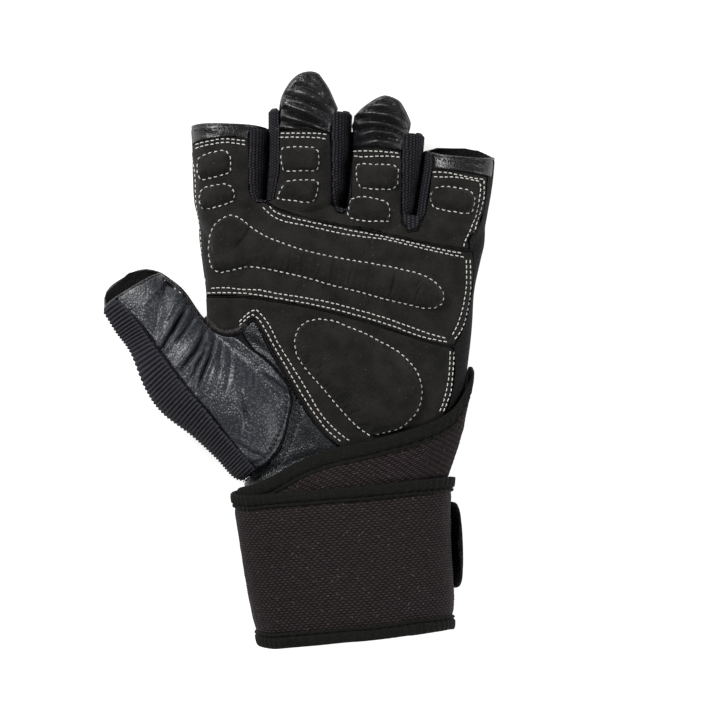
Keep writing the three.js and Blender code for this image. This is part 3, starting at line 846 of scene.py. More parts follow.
def tab_shell(table):
    """The finger's own skin carried on past its opening, drooping a little, as the tab's form."""
    tip = table[0].copy()
    tip[0:4] += TAB_RUN_OUT * (table[0][0:4] - table[2][0:4])
    tip[4] *= TAB_DROOP
    rows = np.vstack([tip, table[:3]])
    form = hand_tube(rows, FINGER_DEPTH, 0.0)
    applied(form, REMESH={"mode": "VOXEL", "voxel_size": 0.6})
    applied(form, SMOOTH={"factor": 0.5, "iterations": 6})
    hollow = hand_tube(rows, FINGER_DEPTH, -WALL, reach=6.0)
    wall = cut(form, hollow, "DIFFERENCE")
    bpy.data.objects.remove(hollow)
    return wall


def pull_tab(outline, table, creases):
    """A tab with a soft rounded edge, lumps and folds across it."""
    piece = refined(cut_out(outline, cloth=tab_shell(table)))
    points, normals = read_points(piece)
    upper = normals[:, 2] > 0.1
    edge, _ = to_line(points[:, :2], plan(curve_through(outline, closed=True)), closed=True)
    share = np.clip(1 - edge / TAB_ROUNDING, 0, 1)
    rise = -TAB_TUCK * (1 - np.sqrt(1 - share ** 2 * 0.98)) + folds(creases)(points)
    rise += 0.6 * slow_noise(points, 7.0, 5) + 0.3 * slow_noise(points, 3.0, 6) + 0.5
    points[upper] += normals[upper] * rise[upper, None]
    write_points(piece, points)
    return piece


ends = {}
for name, outline in LEATHER_ENDS.items():
    if name in TAB_FINGERS:
        ends[name] = pull_tab(outline, TAB_FINGERS[name], TAB_FOLDS[name])
    else:
        ends[name] = modelled(cut_out(outline), outline, rounding=1.6, extra=folds(TAB_FOLDS[name]))
end_thread = stitches([line for rows in LEATHER_STITCHES.values() for line in rows], tree_of(*ends.values()),
                      pitch=1.9, length=1.3, radius=0.22)
for name, piece in ends.items():
    finished(piece, name + "_leather", black_leather, [name])
finished(end_thread, "tab_stitching", dark_thread)

# Thumb: soft pebbled leather in one piece over the ball of the thumb, a plain leather gusset beside it and
# a ribbed knitted strip down its outer side. Creases run from the crotch down to the strip.
THUMB_PANEL = [
    (116, 303), (130, 280), (150, 262), (163, 268), (170, 283), (186, 297), (203, 322), (217, 333),
    (234, 337), (252, 350), (264, 359), (272, 366.5), (279, 374), (285, 382), (290, 395), (290.5, 405),
    (288, 417), (284, 434), (278, 449), (267, 462), (257, 468), (240, 450), (215, 418), (190, 389),
    (165, 356), (142, 325),
]
GUSSET = [
    (241, 332), (248, 325), (253, 321), (256, 323.5), (262, 333.5), (270.5, 350.5), (281.5, 369.5),
    (291.5, 386.5), (301.5, 403.5), (312, 419), (325, 434.5), (341, 448.5), (352, 462), (300, 478),
    (262, 492), (240, 486), (248, 478), (258, 469.5), (268, 463.5), (279.5, 450), (285.5, 434.5),
    (289.5, 417.5), (292, 405), (291.5, 394.5), (286.3, 381.2), (280, 373), (272.8, 365.3), (264.7, 357.8),
    (252.5, 348.7),
]
THUMB_STRIP = [
    (84, 310), (100, 290), (116, 301), (141, 326), (164, 357), (189, 390), (214, 419), (239, 451), (256, 469),
    (246, 479), (228, 490), (205, 468), (160, 428), (134, 392), (118, 350),
]
THUMB_CREASES = [
    ([(170, 276), (163, 296), (158, 318), (152, 336)], 2.6, 2.8),
    ([(186, 308), (178, 321), (171, 334), (159, 353)], 3.2, 0.9),
    ([(195, 317), (184, 331), (173, 345)], 1.5, 0.8),
    ([(206, 331), (197, 349), (188, 361), (178, 373)], 2.5, 0.9),
    ([(209, 345), (200, 361), (189, 384)], 1.4, 0.8),
    ([(216, 338), (210, 357), (203, 374), (197, 392)], 2.0, 0.8),
    ([(223, 342), (220, 366), (212, 395)], 0.8, 0.7),
    ([(231, 344), (231, 368), (227, 392)], 0.5, 0.8),
    ([(180, 305), (170, 322), (165, 336)], 1.0, 0.8),
    ([(241, 388), (244, 405), (249, 423)], 0.9, 0.7),
    ([(245, 402), (246, 418), (245, 432)], 0.6, 0.6),
    ([(262, 374), (275, 383), (287, 393)], 1.2, 0.8),
    ([(136, 303), (147, 299), (160, 290)], 0.5, 0.9),
    ([(236, 442), (252, 452), (262, 456)], 1.1, 0.9),
]
GUSSET_CREASES = [
    ([(243, 333), (262, 349), (284, 362)], 0.6, 1.3), ([(296, 400), (300, 428), (318, 450)], 0.5, 1.6),
    ([(262, 470), (290, 462), (322, 452)], 0.6, 1.4), ([(250, 478), (275, 471), (300, 465)], 0.5, 1.2),
]
THUMB_SEAMS = [[(283.5, 385), (287, 397), (285, 416), (277, 438), (265, 456), (254, 463)]]
GUSSET_SEAMS = [
    [(293.5, 392), (295.5, 404), (293, 418), (287, 438), (279, 455), (267, 467.5), (252, 475)],
    [(297.5, 395), (299.5, 406), (297, 421), (291, 441), (282, 459), (268, 472), (252, 480)],
]
THUMB_BACK_SEAM = [(164, 280), (176, 290), (188, 299), (196, 309), (203, 318)]
CROTCH_HEIGHT = 18.0
CROTCH = [(206, 318), (211, 324), (218, 330), (227, 333), (236, 332), (244, 327.5), (248, 323)]


def roll(path, radius, seed):
    """A soft uneven roll of cloth along a path in space, tapering to its ends."""
    path = spaced(path, 0.45)
    run = unit(np.gradient(path, axis=0))
    side = unit(np.cross(run, [0, 0, 1.0]))
    up = np.cross(side, run)
    share = np.linspace(0, 1, len(path))
    girth = radius * (0.25 + 0.75 * np.sqrt(np.clip(1 - (2 * share - 1) ** 6, 0, 1)))
    turns = circle(14)
    points = []
    for i, place in enumerate(path):
        for turn in turns:
            lump = 1 + 0.3 * noise.noise(Vector((i * 0.09 + seed, math.cos(turn), math.sin(turn))))
            points.append(place + girth[i] * lump * (math.cos(turn) * side[i] + math.sin(turn) * up[i]))
    return mesh_object(points, capped(len(path), len(turns)))


thumb_leather = leather_material(
    "thumb_leather", (0.018, 0.02, 0.0245, 1), (0.059, 0.064, 0.075, 1), 0.85, 0.00012, 0.5)
gusset_leather = leather_material(
    "gusset_leather", (0.0065, 0.0072, 0.009, 1), (0.019, 0.0215, 0.026, 1), 0.8, 0.0001, 0.42)
thumb = modelled(refined(cut_out(THUMB_PANEL)), THUMB_PANEL, THUMB_SEAMS, groove=0.5, lumps=0.5, seed=8,
                 extra=folds(THUMB_CREASES))
gusset = modelled(cut_out(GUSSET), GUSSET, GUSSET_SEAMS, groove=0.5, lumps=0.5, seed=9,
                  extra=folds(GUSSET_CREASES))
thumb_tree = tree_of(thumb, gusset)
thumb_thread = stitches(THUMB_SEAMS + GUSSET_SEAMS, thumb_tree, pitch=1.9, length=1.45, radius=0.27)
back_seam_thread = stitches([THUMB_BACK_SEAM], thumb_tree, pitch=2.4, length=0.9, radius=0.2)
thumb_rings, _, _ = tube_rings(THUMB, FINGER_DEPTH, -0.2, MOUTHS["thumb"])
side_seam = roll(thumb_rings[1:22, 5], 0.85, 3)
crotch_plan = plan(curve_through(CROTCH))
crotch_path = np.array([seat(skin_tree, x, y)[0] or Vector((x, y, CROTCH_HEIGHT)) for x, y in crotch_plan])
crotch_fold = roll(crotch_path - [0, 0, 0.5], 1.5, 5)
finished(thumb, "thumb_leather", thumb_leather, ["thumb_panel"])
finished(gusset, "gusset_leather", gusset_leather, ["thumb_gusset"])
fold_cloth = leather_material(
    "fold_cloth", (0.006, 0.0045, 0.005, 1), (0.018, 0.0145, 0.0155, 1), 0.8, 0.0002, 0.3)
finished(side_seam, "thumb_side_seam", fold_cloth)
finished(crotch_fold, "crotch_fold", fold_cloth)
finished(thumb_thread, "thumb_stitching", dark_thread)
finished(back_seam_thread, "thumb_back_stitching", thread)

# Knitted parts: walls between the fingers and the strip down the thumb, all of a coarse ribbed knit whose
# loops stand up as rows of small cords. Each is cut from the shell and carries its loops as a relief.
KNIT_WALLS = {
    "fourchette_index_middle": [(250, 112), (278, 96), (278, 165), (273, 199), (264, 204), (256, 203),
                                (251, 190)],
    "fourchette_middle_ring": [(333, 98), (351, 100), (351, 180), (349, 207), (343, 214), (337, 212),
                               (333, 202)],
    "fourchette_ring_little": [
        (402.5, 118), (432, 122), (431, 171), (428, 190), (424, 213), (417, 229), (409, 231), (403, 221)],
}
KNIT_HEIGHT = 6.0
STRIP_HEIGHT = 10.0
# Each knitted face: the finger, the seam it starts from, the angle it ends at, and its lowest plan y
KNIT_FACES = {
    "fourchette_index_middle": [
        (INDEX, [(249.5, 100), (249.5, 190), (256, 206)], -0.9, 204),
        (MIDDLE, [(278.5, 90), (278.5, 170), (273, 202)], 3.9, 205)],
    "fourchette_middle_ring": [
        (MIDDLE, [(332.5, 90), (332.5, 190), (336, 214)], -0.9, 213),
        (RING, [(351.5, 90), (351.5, 180), (349, 212)], 3.9, 214)],
    "fourchette_ring_little": [
        (RING, [(401.8, 100), (402.2, 205), (404, 226)], -0.9, 226),
        (LITTLE, [(432.5, 110), (431.5, 171), (428, 190), (424, 216)], 3.9, 230)],
}
WALE, COURSE = 1.6, 1.05
RIB_PITCH = 1.42
KNIT_SPACING, KNIT_LIFT = 0.28, 0.15
KNIT_BASE, KNIT_TUCK, KNIT_FADE = 0.25, 0.1, 0.8


def knitted_face(table, seam, end_angle, lowest, relief, mouth=(0, 0)):
    """A fine sheet over one side of a tube, from its seam round to end_angle, with a relief of loops."""
    line = plan(curve_through(seam))
    steps = 40
    angles = np.linspace(np.pi / 2, end_angle, 240)
    rows = eased(table, steps)
    middles = plan((rows[:, 0:2] + rows[:, 2:4]) / 2)
    travelled = np.concatenate([[0], np.cumsum(np.linalg.norm(np.diff(middles, axis=0), axis=1))])
    outwards = unit(middles[0] - middles[steps])
    last = np.searchsorted((rows[:, 1] + rows[:, 3]) / 2, lowest)
    along = np.arange(0, travelled[min(last, len(rows) - 1)], KNIT_SPACING)
    bulge = bulging(mouth, angles)
    sheet, widths, start = [], [], 0
    for s in along:
        row = np.array([np.interp(s, travelled, rows[:, k]) for k in range(6)])
        ring = section_point(row, FINGER_DEPTH, angles, KNIT_LIFT)
        ring[:, :2] += np.multiply.outer(bulge * max(0, 1 - s / travelled[steps]), outwards)
        past = np.array([crossing(ring[0, :2], point, line) for point in ring[::4, :2]])
        start = 4 * int(np.argmax(past)) if past.any() else start
        ring = ring[start:]
        run = np.concatenate([[0], np.cumsum(np.linalg.norm(np.diff(ring, axis=0), axis=1))])
        widths.append(run[-1])
        sheet.append((ring, run))
    count = int(max(widths) / KNIT_SPACING)
    grid = np.array([[np.interp(np.linspace(0, run[-1], count), run, ring[:, k]) for k in range(3)]
                     for ring, run in sheet]).transpose(0, 2, 1)
    across = np.linspace(0, np.mean(widths), count)
    facing = np.cross(np.gradient(grid, axis=0), np.gradient(grid, axis=1))
    facing /= np.linalg.norm(facing, axis=2)[..., None] + 1e-9
    if np.mean(facing[:, : count // 2, 2]) < 0:
        facing = -facing
    fade = np.minimum(1, np.minimum(across / KNIT_FADE, (across[-1] - across) / KNIT_FADE))[None, :]
    fade = fade * np.minimum(1, np.minimum(along, along[-1] - along) / KNIT_FADE)[:, None]
    rise = fade * (KNIT_BASE + relief(along[:, None], across[None, :])) - KNIT_TUCK * (1 - fade)
    grid += facing * rise[..., None]
    piece = mesh_object(grid.reshape(-1, 3), ring_faces(len(along), count, closed=False))
    return lay_out(piece, np.tile(across, len(along)), np.repeat(along, count))


def lay_out(piece, across, along):
    """Writes how far across and along the cloth each point lies, in millimetres, as the piece's cloth map."""
    layer = piece.data.uv_layers.new(name="cloth")
    corners = np.empty(len(piece.data.loops), int)
    piece.data.loops.foreach_get("vertex_index", corners)
    layer.data.foreach_set("uv", np.stack([across[corners], along[corners]], -1).ravel())
    return piece


def crossing(start, end, line):
    """Whether the run from start to end crosses a line of short pieces."""
    a, b = line[:-1], line[1:]
    run, edge = end - start, b - a
    turn = run[0] * edge[:, 1] - run[1] * edge[:, 0]
    turn = np.where(np.abs(turn) < 1e-12, 1e-12, turn)
    t = ((a[:, 0] - start[0]) * edge[:, 1] - (a[:, 1] - start[1]) * edge[:, 0]) / turn
    u = ((a[:, 0] - start[0]) * run[1] - (a[:, 1] - start[1]) * run[0]) / turn
    return bool(np.any((t >= 0) & (t <= 1) & (u >= 0) & (u <= 1)))


def loops(along, across):
    """Upright cords of knit loops, each a wale wide, with every other cord half a course further on."""
    cord = np.abs(np.cos(np.pi * across / WALE)) ** 0.8
    course = 0.5 + 0.5 * np.cos(2 * np.pi * (along / COURSE + 0.5 * np.floor(across / WALE + 0.5)))
    return 0.55 * cord * (0.35 + 0.65 * course)


def ribs(along, across):
    """Round ribs across the strip."""
    rib = (0.5 + 0.5 * np.cos(2 * np.pi * along / RIB_PITCH)) ** 0.7
    return 0.62 * rib * (0.85 + 0.15 * np.cos(2 * np.pi * across / 1.1))


def make_rows():
    """Rows of raised threads on the cloth map, every other column of them shifted by half a row."""
    group, given, out = effect(
        "Thread rows",
        [("Place", VECTOR, (0, 0, 0))] + TONES
        + [("Column", FLOAT, 1.0), ("Row", FLOAT, 1.0), ("Fuzz", FLOAT, 0.4)],
        RESULTS)
    drift = noisy(group, node(group, "TexCoord").outputs["Object"], 700.0, 3.0)
    axes = node(group, "SeparateXYZ", [(0, given.outputs["Place"])])
    column = maths(group, "DIVIDE", axes.outputs[0], given.outputs["Column"])
    cord = maths(group, "ABSOLUTE", maths(group, "COSINE", maths(group, "MULTIPLY", column, math.pi)))
    number = maths(group, "FLOOR", maths(group, "ADD", column, 0.5))
    row = maths(group, "DIVIDE", axes.outputs[1], given.outputs["Row"])
    shifted = maths(group, "ADD", row, maths(group, "MULTIPLY", number, 0.5))
    wave = maths(group, "COSINE", maths(group, "MULTIPLY", shifted, 2 * math.pi))
    height = maths(group, "MULTIPLY", cord, ranged(group, wave, -1.0, 1.0, 0.3, 1.0))
    frayed = node(group, "Mix", [(0, given.outputs["Fuzz"]), (2, height), (3, drift)]).outputs[0]
    tone = blended(group, ranged(group, frayed, 0.3, 0.85), given.outputs["Deep"], given.outputs["Pale"])
    return sent(group, out, Colour=tone, Height=frayed)


thread_rows = make_rows()
KNIT_LINT = {"Lint": (0.09, 0.085, 0.08, 1), "Spacing": 3.6, "Speck": 0.08}


def knit_material(name, deep, pale, column, row, specks):
    """Cloth of raised threads, whose columns and rows follow the piece's cloth map."""
    return cloth_material(name, thread_rows, 0.0003, 0.15, 0.85, specks, True, Deep=deep, Pale=pale,
                          Column=column, Row=row)


# Wider than the strip is, so that its ribs run straight across
ONE_COLUMN = 900.0
wall_knit = knit_material("finger_knit", (0.0025, 0.0025, 0.0035, 1), (0.041, 0.041, 0.05, 1), WALE,
                          COURSE, KNIT_LINT)
strip_knit = knit_material("thumb_knit", (0.003, 0.003, 0.004, 1), (0.038, 0.037, 0.047, 1), ONE_COLUMN,
                           RIB_PITCH, KNIT_LINT)

strip = modelled(cut_out(THUMB_STRIP, STRIP_HEIGHT), THUMB_STRIP, lumps=0.2, seed=11)
strip_seam = [(96, 283), (113, 298), (120, 301), (130, 312), (145, 332), (160, 352), (175, 372), (190, 390),
              (210, 413), (230, 438), (250, 460), (258, 470)]
strip_face = knitted_face(THUMB, strip_seam, 3.75, 458, ribs, MOUTHS["thumb"])
strip_points, _ = read_points(strip)
lay_out(strip, strip_points[:, 0], strip_points[:, 1])
finished(joined([strip, strip_face]), "thumb_strip_knit", strip_knit, ["thumb_knit_strip"])
for number, (name, outline) in enumerate(KNIT_WALLS.items()):
    wall = modelled(cut_out(outline, KNIT_HEIGHT), outline, lumps=0.2, seed=12 + number)
    wall_points, _ = read_points(wall)
    lay_out(wall, wall_points[:, 0], wall_points[:, 1])
    faces = [knitted_face(table, seam, end, lowest, loops) for table, seam, end, lowest in KNIT_FACES[name]]
    finished(joined([wall] + faces), name + "_knit", wall_knit, [name])

# Back of the glove: one stretch knit over the back of the hand, the fingers and the thumb, which lies on the
# floor here, and its lining runs down into the strap. Each opening has a narrow turned hem.
HEM_RADIUS = 0.62
# The share of its faces that the back keeps
BACK_SHARE = 0.45


def hem(table, mouth, start, end):
    """A rolled edge along an opening, from one angle round to another."""
    rings, _, _ = tube_rings(table, FINGER_DEPTH, -LIP / 2, mouth, corners=144)
    ring = rings[0]
    count = len(ring)
    places = np.arange(int(count * start / 360), int(count * end / 360) + 1) % count
    path = ring[places]
    run = unit(np.gradient(path, axis=0))
    side = unit(np.cross(run, path - ring.mean(0)))
    up = np.cross(side, run)
    turns = circle(12)
    points = [place + HEM_RADIUS * (np.cos(turn) * a + np.sin(turn) * b)
              for place, a, b in zip(path, side, up) for turn in turns]
    return mesh_object(points, capped(len(path), len(turns)))


def make_weave():
    """Plain fine cloth: small raised threads all over, in slow clouds of two tones."""
    group, given, out = effect("Fine weave", TONES + [("Thread Size", FLOAT, 1.0)], RESULTS)
    place = node(group, "TexCoord").outputs["Object"]
    scale = maths(group, "DIVIDE", MM_PER_METRE, given.outputs["Thread Size"])
    dots = node(group, "TexVoronoi", [("Vector", place), ("Scale", scale), ("Randomness", 0.7)])
    height = ranged(group, dots.outputs["Distance"], 0.1, 0.6, 1.0, 0.0)
    share = maths(group, "MULTIPLY", height, noisy(group, place, 260.0, 4.0))
    tone = blended(group, share, given.outputs["Deep"], given.outputs["Pale"])
    return sent(group, out, Colour=tone, Height=height)


weave = make_weave()


def woven_material(name, deep, pale, thread_size, lint_colour):
    specks = {"Lint": lint_colour, "Spacing": 1.7, "Speck": 0.05}
    return cloth_material(name, weave, 0.0002, 0.15, 0.8, specks, Deep=deep, Pale=pale,
                          Thread_Size=thread_size)


back_cloth = woven_material("back_knit", (0.003, 0.003, 0.003, 1), (0.014, 0.014, 0.015, 1), 1.1,
                            (0.05, 0.05, 0.05, 1))
back = largest_part(copied(shell))
back_points, back_normals = read_points(back)
outer = on_outside(back_points, skin_tree, 0.3)
back_points[outer] += back_normals[outer] * (0.2 * slow_noise(back_points[outer], 12.0, 17))[:, None]
back_points[:, 2] = np.maximum(back_points[:, 2], 0.0)
write_points(back, back_points)
applied(back, DECIMATE={"ratio": BACK_SHARE})
for used in (shell, lining, whole_skin):
    bpy.data.objects.remove(used)
finished(back, "knitted_back", back_cloth, ["back_panel", "thumb_back", "wrist_lining"])
brown_leather = leather_material(
    "hem_leather", (0.010, 0.0082, 0.0075, 1), (0.03, 0.025, 0.023, 1), 0.8, 0.0002, 0.4)
# Each hem: its finger, the angles it starts and ends at, and its cloth
HEMS = {
    "thumb": (THUMB, 0, 360, brown_leather, "leather"),
    "index": (INDEX, 0, 360, black_leather, "leather"),
    "little": (LITTLE, 0, 360, black_leather, "leather"),
    "middle": (MIDDLE, 150, 390, wall_knit, "knit"),
    "ring": (RING, 150, 390, wall_knit, "knit"),
}
for finger, (table, start, end, material, slot) in HEMS.items():
    finished(hem(table, MOUTHS[finger], start, end), finger + "_hem", material)

# Palm pads: foam under suede patches, sewn on through the palm panels, so that each swells up inside its
# row of stitches and is pulled in at every stitch.
PADS = {
    "palm_bar_pad": [
        (209, 250), (210, 240), (214, 228), (221, 220.5), (231, 216), (240, 219), (250, 227), (262, 235),
        (275, 241), (300, 250), (325, 256), (350, 261), (375, 265), (400, 270), (420, 275), (432, 281),
        (440, 289), (443, 297), (441, 304), (433, 308), (422, 308), (405, 304), (380, 298), (350, 290),
        (330, 285), (310, 279), (290, 274), (270, 270), (250, 267), (235, 270), (220, 273), (213, 268),
        (210, 260)],
    "palm_heel_pad": [
        (370, 435), (355, 424), (340, 408), (325, 390), (310, 373), (300, 360), (296, 348), (296, 338),
        (300, 328), (308, 322), (320, 320), (335, 322), (350, 328), (365, 334), (380, 342), (395, 350),
        (406, 359), (415, 370), (420, 382), (421, 395), (418, 408), (412, 417), (398, 428)],
    "index_pad_upper": [(198, 160), (203, 156), (220, 151.5), (226, 151.5), (230, 157), (230.5, 173),
                        (215, 177.5), (201, 180.5), (198, 172)],
    "index_pad_lower": [(201, 193), (205, 188.5), (213, 186.5), (225, 185), (232, 187.5), (235, 195),
                        (233, 201.5), (225, 205), (212, 208.5), (203, 209), (200, 202)],
    "middle_pad_upper": [(282, 150.5), (284, 148), (299, 147.5), (314, 148), (318, 152), (318.5, 165),
                         (316, 171.5), (300, 171.5), (284, 171), (281.5, 161)],
    "middle_pad_lower": [(287, 182), (300, 181), (314, 181), (318, 184), (317, 192), (314, 201), (308, 203),
                         (292, 201), (278, 199), (281, 191)],
    "ring_pad_upper": [(357, 166), (360, 164.5), (375, 165), (394, 166), (398, 169.5), (397, 185), (392, 190),
                       (376, 189.5), (361, 188), (357.5, 180)],
    "ring_pad_lower": [(351, 199.5), (363, 197.5), (375, 199.5), (386, 202.5), (389, 209), (388, 222),
                       (366, 221.5), (351, 219), (348, 214)],
    "little_pad": [(435, 188.5), (445, 187), (469, 190.5), (473.5, 196), (474, 203), (472, 211), (467, 213.5),
                   (450, 211.5), (434, 208), (431, 200), (432.5, 192)],
}
PAD_SPACING = 0.6
PAD_FLANGE = 1.0
PAD_FLANGE_HEIGHT, PAD_RIM_ROUNDING = 0.55, 0.7
PAD_BASE, PAD_UNDERSIDE = 0.4, 0.35
PAD_STITCH_DIP, PAD_STITCH_PULL = 0.45, 0.16
# Height and shoulder of each pad in millimetres
PAD_SIZES = {"palm_bar_pad": (2.4, 4.8), "palm_heel_pad": (2.6, 6.0)}
SMALL_PAD_SIZE = (2.2, 3.4)
PAD_STITCH_PITCH = 2.3
PAD_PRESSURE = 3.0
PAD_STIFFNESS = 12
PAD_GROWTH = 0.07
PAD_FRAMES = 16
PAD_REACH = 0.9
# Each millimetre is simulated as this many metres of cloth
SIM_SCALE = 0.02


def patch_mesh(line, spacing):
    """A flat mesh of even small triangles inside a closed line, its rim first."""
    low, high = line.min(0), line.max(0)
    grid = [(x + (spacing / 2 if row % 2 else 0), y)
            for row, y in enumerate(np.arange(low[1], high[1], spacing * 0.87))
            for x in np.arange(low[0], high[0], spacing)]
    grid = np.array(grid)
    gap, _ = to_line(grid, line, closed=True)
    inside = np.array([is_inside(point, line) for point in grid]) & (gap > spacing * 0.6)
    points = [Vector(p) for p in np.vstack([line, grid[inside]])]
    count = len(line)
    edges = [(i, (i + 1) % count) for i in range(count)]
    corners, _, faces, _, _, _ = delaunay_2d_cdt(points, edges, [], 1, 1e-5)
    return np.array([tuple(c) for c in corners]), [tuple(f) for f in faces], count


def is_inside(point, line):
    ends = np.roll(line, -1, 0)
    spans = (line[:, 1] > point[1]) != (ends[:, 1] > point[1])
    rise = np.where(spans, ends[:, 1] - line[:, 1], 1.0)
    at = line[:, 0] + (point[1] - line[:, 1]) * (ends[:, 0] - line[:, 0]) / rise
    return bool(np.sum(spans & (at > point[0])) % 2)


def pad(outline, height, shoulder, seed):
    """A closed patch on the palm: a thin flange outside the stitches and a swollen middle inside them."""
    sewn = plan(curve_through(outline, closed=True))
    rim = grown(sewn, PAD_FLANGE)
    rim = spaced(np.vstack([rim, rim[:1]]), PAD_SPACING)[:-1]
    corners, faces, rim_count = patch_mesh(rim, PAD_SPACING)
    gap, along = to_line(corners, sewn, closed=True)
    within = np.array([is_inside(corner, sewn) for corner in corners])
    length = np.linalg.norm(np.roll(sewn, -1, 0) - sewn, axis=1).sum()
    stitch_count = round(length / PAD_STITCH_PITCH)
    share = np.clip(gap / shoulder, 0, 1)
    swell = height * (1 - (1 - share) ** 2.2) ** 0.75
    pull = 0.5 - 0.5 * np.cos(2 * np.pi * along * stitch_count)
    swell *= 1 + PAD_STITCH_PULL * (pull - 0.5) * np.exp(-gap / 1.6)
    edge, _ = to_line(corners, rim, closed=True)
    flange = PAD_FLANGE_HEIGHT * np.sqrt(np.clip(edge / PAD_RIM_ROUNDING, 0, 1))
    flat3 = np.column_stack([corners, np.zeros(len(corners))])
    soft = slow_noise(flat3, 9.0, seed) * 0.35 + slow_noise(flat3, 3.5, seed + 1) * 0.16
    rise = np.where(within, PAD_BASE + swell + soft * share, np.minimum(flange, PAD_BASE + 0.4 * gap))
    rise -= PAD_STITCH_DIP * np.exp(-(gap / 0.6) ** 2)
    top, under = [], []
    for (x, y), lift in zip(corners, rise):
        place, _ = seat(palm_tree, x, y)
        smooth_place, _ = seat(skin_tree, x, y)
        place = place or smooth_place
        facing = skin_tree.find_nearest(place)[1]
        top.append(place + facing * lift)
        under.append(place - facing * PAD_UNDERSIDE)
    count = len(corners)
    faces = [f if signed_area(corners[list(f)]) > 0 else f[::-1] for f in faces]
    sides = [(i, (i + 1) % rim_count, (i + 1) % rim_count + count, i + count) for i in range(rim_count)]
    if signed_area(corners[:rim_count]) > 0:
        sides = [side[::-1] for side in sides]
    piece = mesh_object(top + under, faces + [tuple(i + count for i in f)[::-1] for f in faces] + sides)
    held = np.concatenate([np.flatnonzero(~within | (gap < 0.5)), count + np.arange(count)])
    return inflated(piece, held)


def inflated(piece, held):
    """Lets cloth over foam find its own shape: blown up a little, held along its stitches and underneath."""
    before, _ = read_points(piece)
    write_points(piece, before * SIM_SCALE)
    group = piece.vertex_groups.new(name="held")
    group.add([int(i) for i in held], 1.0, "REPLACE")
    cloth = piece.modifiers.new("Cloth", "CLOTH")
    settings = cloth.settings
    settings.quality = 5
    settings.mass = 0.3
    settings.tension_stiffness = settings.compression_stiffness = PAD_STIFFNESS
    settings.bending_stiffness = 0.25
    settings.use_pressure = True
    settings.uniform_pressure_force = PAD_PRESSURE
    settings.vertex_group_mass = "held"
    settings.shrink_min = -PAD_GROWTH
    settings.effector_weights.gravity = 0
    cloth.collision_settings.use_collision = False
    scene = bpy.context.scene
    for moment in range(1, PAD_FRAMES + 1):
        scene.frame_set(moment)
    blown = piece.evaluated_get(bpy.context.evaluated_depsgraph_get())
    after = np.empty(len(before) * 3)
    blown.data.vertices.foreach_get("co", after)
    moved = after.reshape(-1, 3) / SIM_SCALE - before
    far = np.linalg.norm(moved, axis=1)[:, None]
    piece.modifiers.clear()
    piece.vertex_groups.clear()
    write_points(piece, before + moved * np.minimum(1, PAD_REACH / np.maximum(far, 1e-6)))
    scene.frame_set(1)
    return piece


pad_suede = suede_material("pad_suede")
pads = {name: pad(outline, *PAD_SIZES.get(name, SMALL_PAD_SIZE), seed=30 + 2 * number)
        for number, (name, outline) in enumerate(PADS.items())}
pad_thread = stitches([outline + outline[:1] for outline in PADS.values()], tree_of(*pads.values()),
                      pitch=PAD_STITCH_PITCH, length=1.45)
for name, piece in pads.items():
    finished(piece, name + "_suede", pad_suede, [name])
finished(pad_thread, "pad_stitching", thread)

# Wrist strap: woven elastic sewn in at the little finger's side. It goes up over the wrist, round the
# back and over again on top of its first turn, then ends in a soft tab that closes under the little
# finger's side.
STRAP_WIDTH = 58.0
STRAP_THICKNESS = 1.8
TAPE_WIDTH = 7.5
WEAVE_ROW, WEAVE_PITCH = 0.95, 2.2
# Half turns from the little finger's side over the palm, the upper edge's plan y, and the layer
STRAP_PATH = np.array([
    [-0.06, 366, 0], [0, 371, 0], [0.05, 384, 0], [0.1, 396, 0], [0.15, 408, 0], [0.25, 421, 0],
    [0.42, 437, 0], [0.5, 445, 0], [0.6, 459, 0], [0.7, 475, 0], [0.8, 484, 0], [1, 489, 0],
    [1.7, 486, 0], [1.92, 478, 1], [2.1, 476, 1], [2.3, 479, 1], [2.6, 490, 1], [2.8, 495, 1],
    [3, 493, 1], [3.3, 487, 1], [3.7, 479, 1],
], float)
PATH_STEP, PATH_ROUNDING = 0.005, 0.025
HALF_TURN_MM = 95.0
CLOSING_GAP, CLOSING_TURNS = 0.015, 0.295
CLOSING_HALF_WIDTH, CLOSING_MIDDLE, CLOSING_LIFT = 16.5, 0.44, 1.6


def strap_path(turns):
    """The strap's upper edge and layer at some turns, with the path's corners rounded off."""
    fine = np.arange(STRAP_PATH[0, 0] - 0.1, STRAP_PATH[-1, 0] + 0.6, PATH_STEP)
    weights = np.exp(-(np.arange(-12, 13) * PATH_STEP / PATH_ROUNDING) ** 2)
    result = []
    for column in (1, 2):
        values = np.interp(fine, STRAP_PATH[:, 0], STRAP_PATH[:, column])
        padded = np.pad(values, 12, mode="edge")
        smooth = np.convolve(padded, weights / weights.sum(), mode="valid")
        result.append(np.interp(turns, fine, smooth))
    return result


